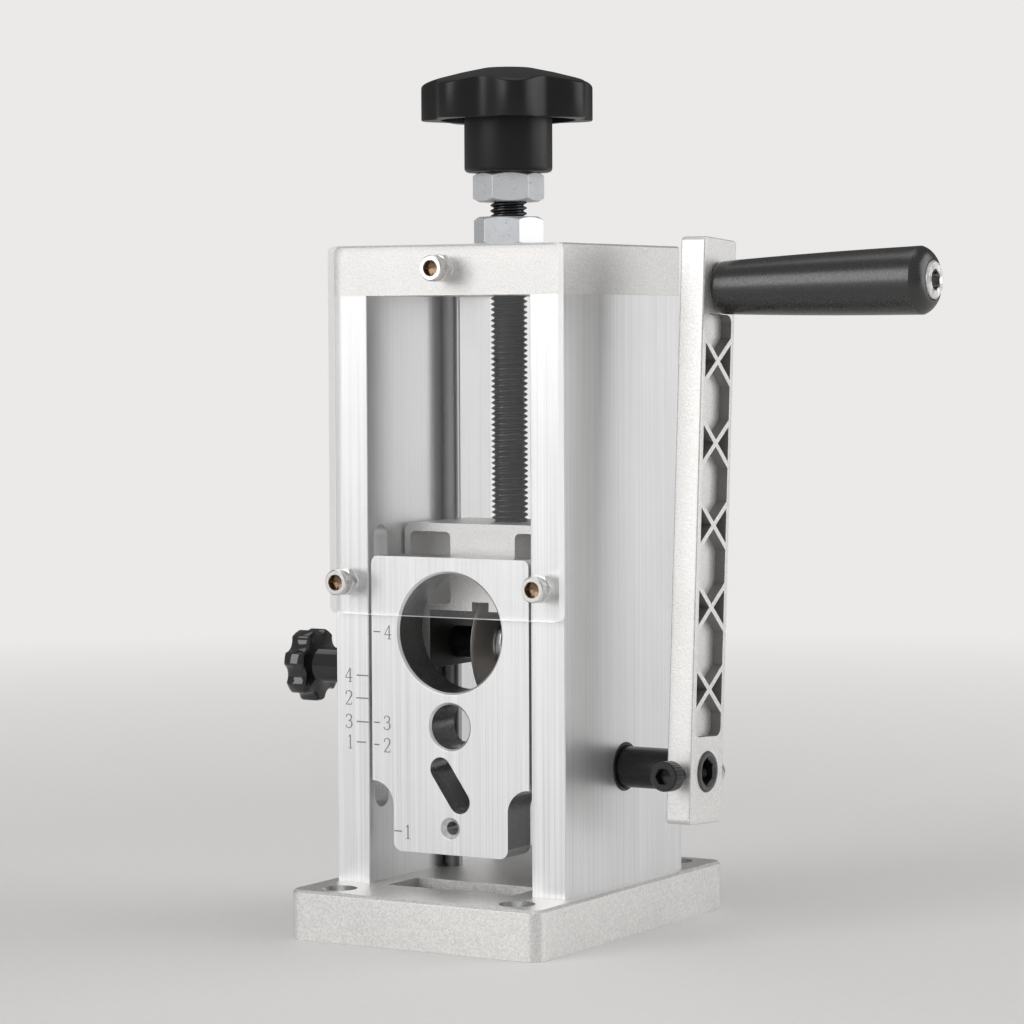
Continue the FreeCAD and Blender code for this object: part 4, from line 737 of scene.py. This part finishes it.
def in_grip_socket(here, normal):
    there = grip_back @ (here * MM)
    return there.z > GRIP_SOCKET_FOOT * MM and there.xy.length < GRIP_SOCKET * MM


# The grip bolt's socket gets painted shade
tint(grip_bolt, "machined_painted_shade", in_grip_socket)

# Scale marks: each stroke is a line of (across, up, half width) points
NUMERALS = {
    "1": [[(0.3, 0.84, 0.02), (0.42, 0.9, 0.03), (0.5, 1.0, 0.045), (0.5, 0.0, 0.045)],
          [(0.3, 0.0, 0.025), (0.7, 0.0, 0.025)]],
    "2": [[(0.2, 0.74, 0.05), (0.24, 0.92, 0.03), (0.5, 1.0, 0.03), (0.76, 0.9, 0.045),
           (0.78, 0.68, 0.05), (0.58, 0.4, 0.04), (0.2, 0.02, 0.03)],
          [(0.18, 0.0, 0.035), (0.78, 0.0, 0.035), (0.84, 0.18, 0.02)]],
    "3": [[(0.2, 0.8, 0.045), (0.3, 0.96, 0.03), (0.52, 1.0, 0.03), (0.76, 0.88, 0.05),
           (0.7, 0.62, 0.04), (0.42, 0.54, 0.025)],
          [(0.42, 0.54, 0.025), (0.74, 0.48, 0.04), (0.82, 0.26, 0.055), (0.7, 0.06, 0.04),
           (0.46, 0.0, 0.03), (0.22, 0.06, 0.03), (0.18, 0.2, 0.045)]],
    "4": [[(0.66, 0.0, 0.045), (0.66, 1.0, 0.045)], [(0.66, 1.0, 0.025), (0.14, 0.3, 0.025)],
          [(0.14, 0.3, 0.03), (0.88, 0.3, 0.03)], [(0.48, 0.0, 0.025), (0.84, 0.0, 0.025)]],
}
DIGIT_HEIGHT, DIGIT_WIDTH = 3.7, 2.9
MARK_RAISE, MARK_THICK, MARK_LINE = 0.02, 0.05, 0.34


def ribbon(points, width, face):
    """A flat stroke on a front face, from (x, z, half width) points."""
    vertices, faces = [], []
    last = len(points) - 1
    for n, (x, z, half) in enumerate(points):
        ahead, behind = points[min(n + 1, last)], points[max(n - 1, 0)]
        way = Vector((ahead[0] - behind[0], ahead[1] - behind[1])).normalized()
        for side in (-1, 1):
            vertices.append((x - side * way.y * half * width, face,
                             z + side * way.x * half * width))
    for n in range(last):
        faces.append((2 * n, 2 * n + 1, 2 * n + 3, 2 * n + 2))
    return vertices, faces


def numeral(digit, x, z, face):
    """The strokes of a digit whose middle is at x, z."""
    shapes = []
    for stroke in NUMERALS[digit]:
        line = smooth_line(stroke, 5) if len(stroke) > 4 else stroke
        spots = [(x + (across - 0.5) * DIGIT_WIDTH, z + (up - 0.5) * DIGIT_HEIGHT, half)
                 for across, up, half in line]
        shapes.append(ribbon(spots, DIGIT_HEIGHT, face))
    return shapes


def scale_marks(name, body, face, rows):
    """Digits with their short lines, as one thin printed piece.

    Each row is a digit, its middle's x, the height, and where its line starts and ends.
    """
    shapes = []
    for digit, digit_x, z, start, end in rows:
        shapes += numeral(digit, digit_x, z, face - MARK_RAISE)
        shapes.append(ribbon([(start, z, 0.5), (end, z, 0.5)], MARK_LINE, face - MARK_RAISE))
    item = piece(name, body, "mark_ink", shapes)
    thick = item.modifiers.new("print", "SOLIDIFY")
    thick.thickness = MARK_THICK * MM
    thick.offset = 0
    return item


scale_marks("pillar_marks", "housing", FRONT,
            [("4", -32.0, 70.1, -29.4, -25.6), ("2", -32.0, 63.9, -29.6, -25.6),
             ("3", -32.0, 57.45, -29.5, -25.6), ("1", -31.6, 51.9, -29.5, -26.5)])
scale_marks("plate_marks", "guide", PLATE_FRONT,
            [("4", -19.5, 82.2, -24.1, -21.9), ("3", -19.9, 57.5, -24.1, -22.2),
             ("2", -19.9, 51.45, -24.1, -22.4), ("1", -13.4, 28.3, -17.7, -15.3)])


# Floor, world, lamps and camera, in metres; the floor fades into the backdrop from NEAR to FAR
BACKDROP = (0.83, 0.82, 0.81)
NEAR, FAR = 0.25, 0.95
FLOOR_REACH = 40.0
SKY_TO_LIGHT = (0.1, -0.93, 0.35)
SKY_DIM, SKY_BRIGHT = 0.13, 0.46
SKY_AWAY, SKY_FACING = -0.7, 0.8


def seen(tree):
    """One for what the camera sees directly or through a clear piece, else nothing."""
    light = add(tree, "LightPath")
    either = add(tree, "Math", operation="MAXIMUM")
    tree.links.new(light.outputs["Is Camera Ray"], either.inputs[0])
    tree.links.new(light.outputs["Is Transmission Ray"], either.inputs[1])
    return either.outputs["Value"]


def floor_finish():
    """Pale paint that goes over into the plain backdrop with distance."""
    made = finish("floor_paint", (0.9, 0.89, 0.88), 0.75, grain=300, shade=0.01, patch=0.01,
                  blotch=3)
    tree = made.node_tree
    where = add(tree, "TexCoord")
    far = add(tree, "VectorMath", operation="LENGTH")
    tree.links.new(where.outputs["Object"], far.inputs[0])
    fade = spread(tree, far.outputs["Value"], 0, 1, NEAR, FAR)
    share = add(tree, "Math", operation="MULTIPLY")
    tree.links.new(fade, share.inputs[0])
    tree.links.new(seen(tree), share.inputs[1])
    glow = add(tree, "Emission", Color=(*BACKDROP, 1))
    both = add(tree, "MixShader")
    tree.links.new(share.outputs["Value"], both.inputs["Fac"])
    tree.links.new(tree.nodes["Principled BSDF"].outputs["BSDF"], both.inputs[1])
    tree.links.new(glow.outputs["Emission"], both.inputs[2])
    tree.links.new(both.outputs["Shader"], tree.nodes["Material Output"].inputs["Surface"])
    return made


floor_mesh = bpy.data.meshes.new("floor")
floor_corners = [(x * FLOOR_REACH, y * FLOOR_REACH, 0)
                 for x, y in ((-1, -1), (1, -1), (1, 1), (-1, 1))]
floor_mesh.from_pydata(floor_corners, [], [(0, 1, 2, 3)])
floor = bpy.data.objects.new("floor", floor_mesh)
bpy.context.scene.collection.objects.link(floor)
floor_mesh.materials.append(floor_finish())

world = bpy.data.worlds.new("studio")
bpy.context.scene.world = world
world.use_nodes = True
sky = world.node_tree
way = add(sky, "TexCoord")
toward = add(sky, "VectorMath", operation="DOT_PRODUCT")
toward.inputs[1].default_value = SKY_TO_LIGHT
sky.links.new(way.outputs["Generated"], toward.inputs[0])
side = spread(sky, toward.outputs["Value"], SKY_DIM, SKY_BRIGHT, SKY_AWAY, SKY_FACING)
tone = add(sky, "CombineColor")
for channel in ("Red", "Green", "Blue"):
    sky.links.new(side, tone.inputs[channel])
shown = blend(sky, seen(sky), tone.outputs["Color"], BACKDROP)
sky.links.new(shown, sky.nodes["Background"].inputs["Color"])
sky.nodes["Background"].inputs["Strength"].default_value = 1.0


def lamp(name, place, aim, size, power):
    """A soft square lamp that looks at a point."""
    data = bpy.data.lights.new(name, "AREA")
    data.shape = "RECTANGLE"
    data.size, data.size_y = size
    data.energy = power
    item = bpy.data.objects.new(name, data)
    item.location = place
    item.rotation_euler = (Vector(aim) - Vector(place)).to_track_quat("-Z", "Y").to_euler()
    bpy.context.scene.collection.objects.link(item)


# Each lamp's name, place, aim, size and power in watts
LAMPS = (("key", (-1.0, -2.3, 1.0), (0, 0, 0.12), (1.6, 1.6), 25),
         ("side", (1.6, 1.0, 0.6), (0, 0, 0.12), (1.9, 1.8), 20),
         ("top", (-0.1, 0.1, 1.5), (0, 0, 0.1), (1.0, 1.0), 3.5))
for settings in LAMPS:
    lamp(*settings)

# The camera looks the way the photo was taken: angles in degrees, place in metres
VIEW_YAW, VIEW_PITCH, VIEW_ROLL = 30.656, -2.925, -0.254
VIEW_PLACE = (0.50498, -0.85088, 0.16422)
SENSOR_MM, LENS_MM, CLIP_START = 36.0, 126.68, 0.05
yaw, pitch, roll = (math.radians(v) for v in (VIEW_YAW, VIEW_PITCH, VIEW_ROLL))
right = Vector((math.cos(yaw), math.sin(yaw), 0))
ahead = Vector((-math.sin(yaw) * math.cos(pitch), math.cos(yaw) * math.cos(pitch),
                math.sin(pitch)))
above = right.cross(ahead)
across = right * math.cos(roll) + above * math.sin(roll)
upward = above * math.cos(roll) - right * math.sin(roll)
lens = bpy.data.cameras.new("view")
lens.sensor_width = SENSOR_MM
lens.lens = LENS_MM
lens.clip_start = CLIP_START
camera = bpy.data.objects.new("view", lens)
camera.matrix_world = Matrix([(*parts, shift) for *parts, shift in
                              zip(across, upward, -ahead, VIEW_PLACE)] + [(0, 0, 0, 1)])
bpy.context.scene.collection.objects.link(camera)
bpy.context.scene.camera = camera
bpy.context.scene.view_settings.view_transform = "Standard"
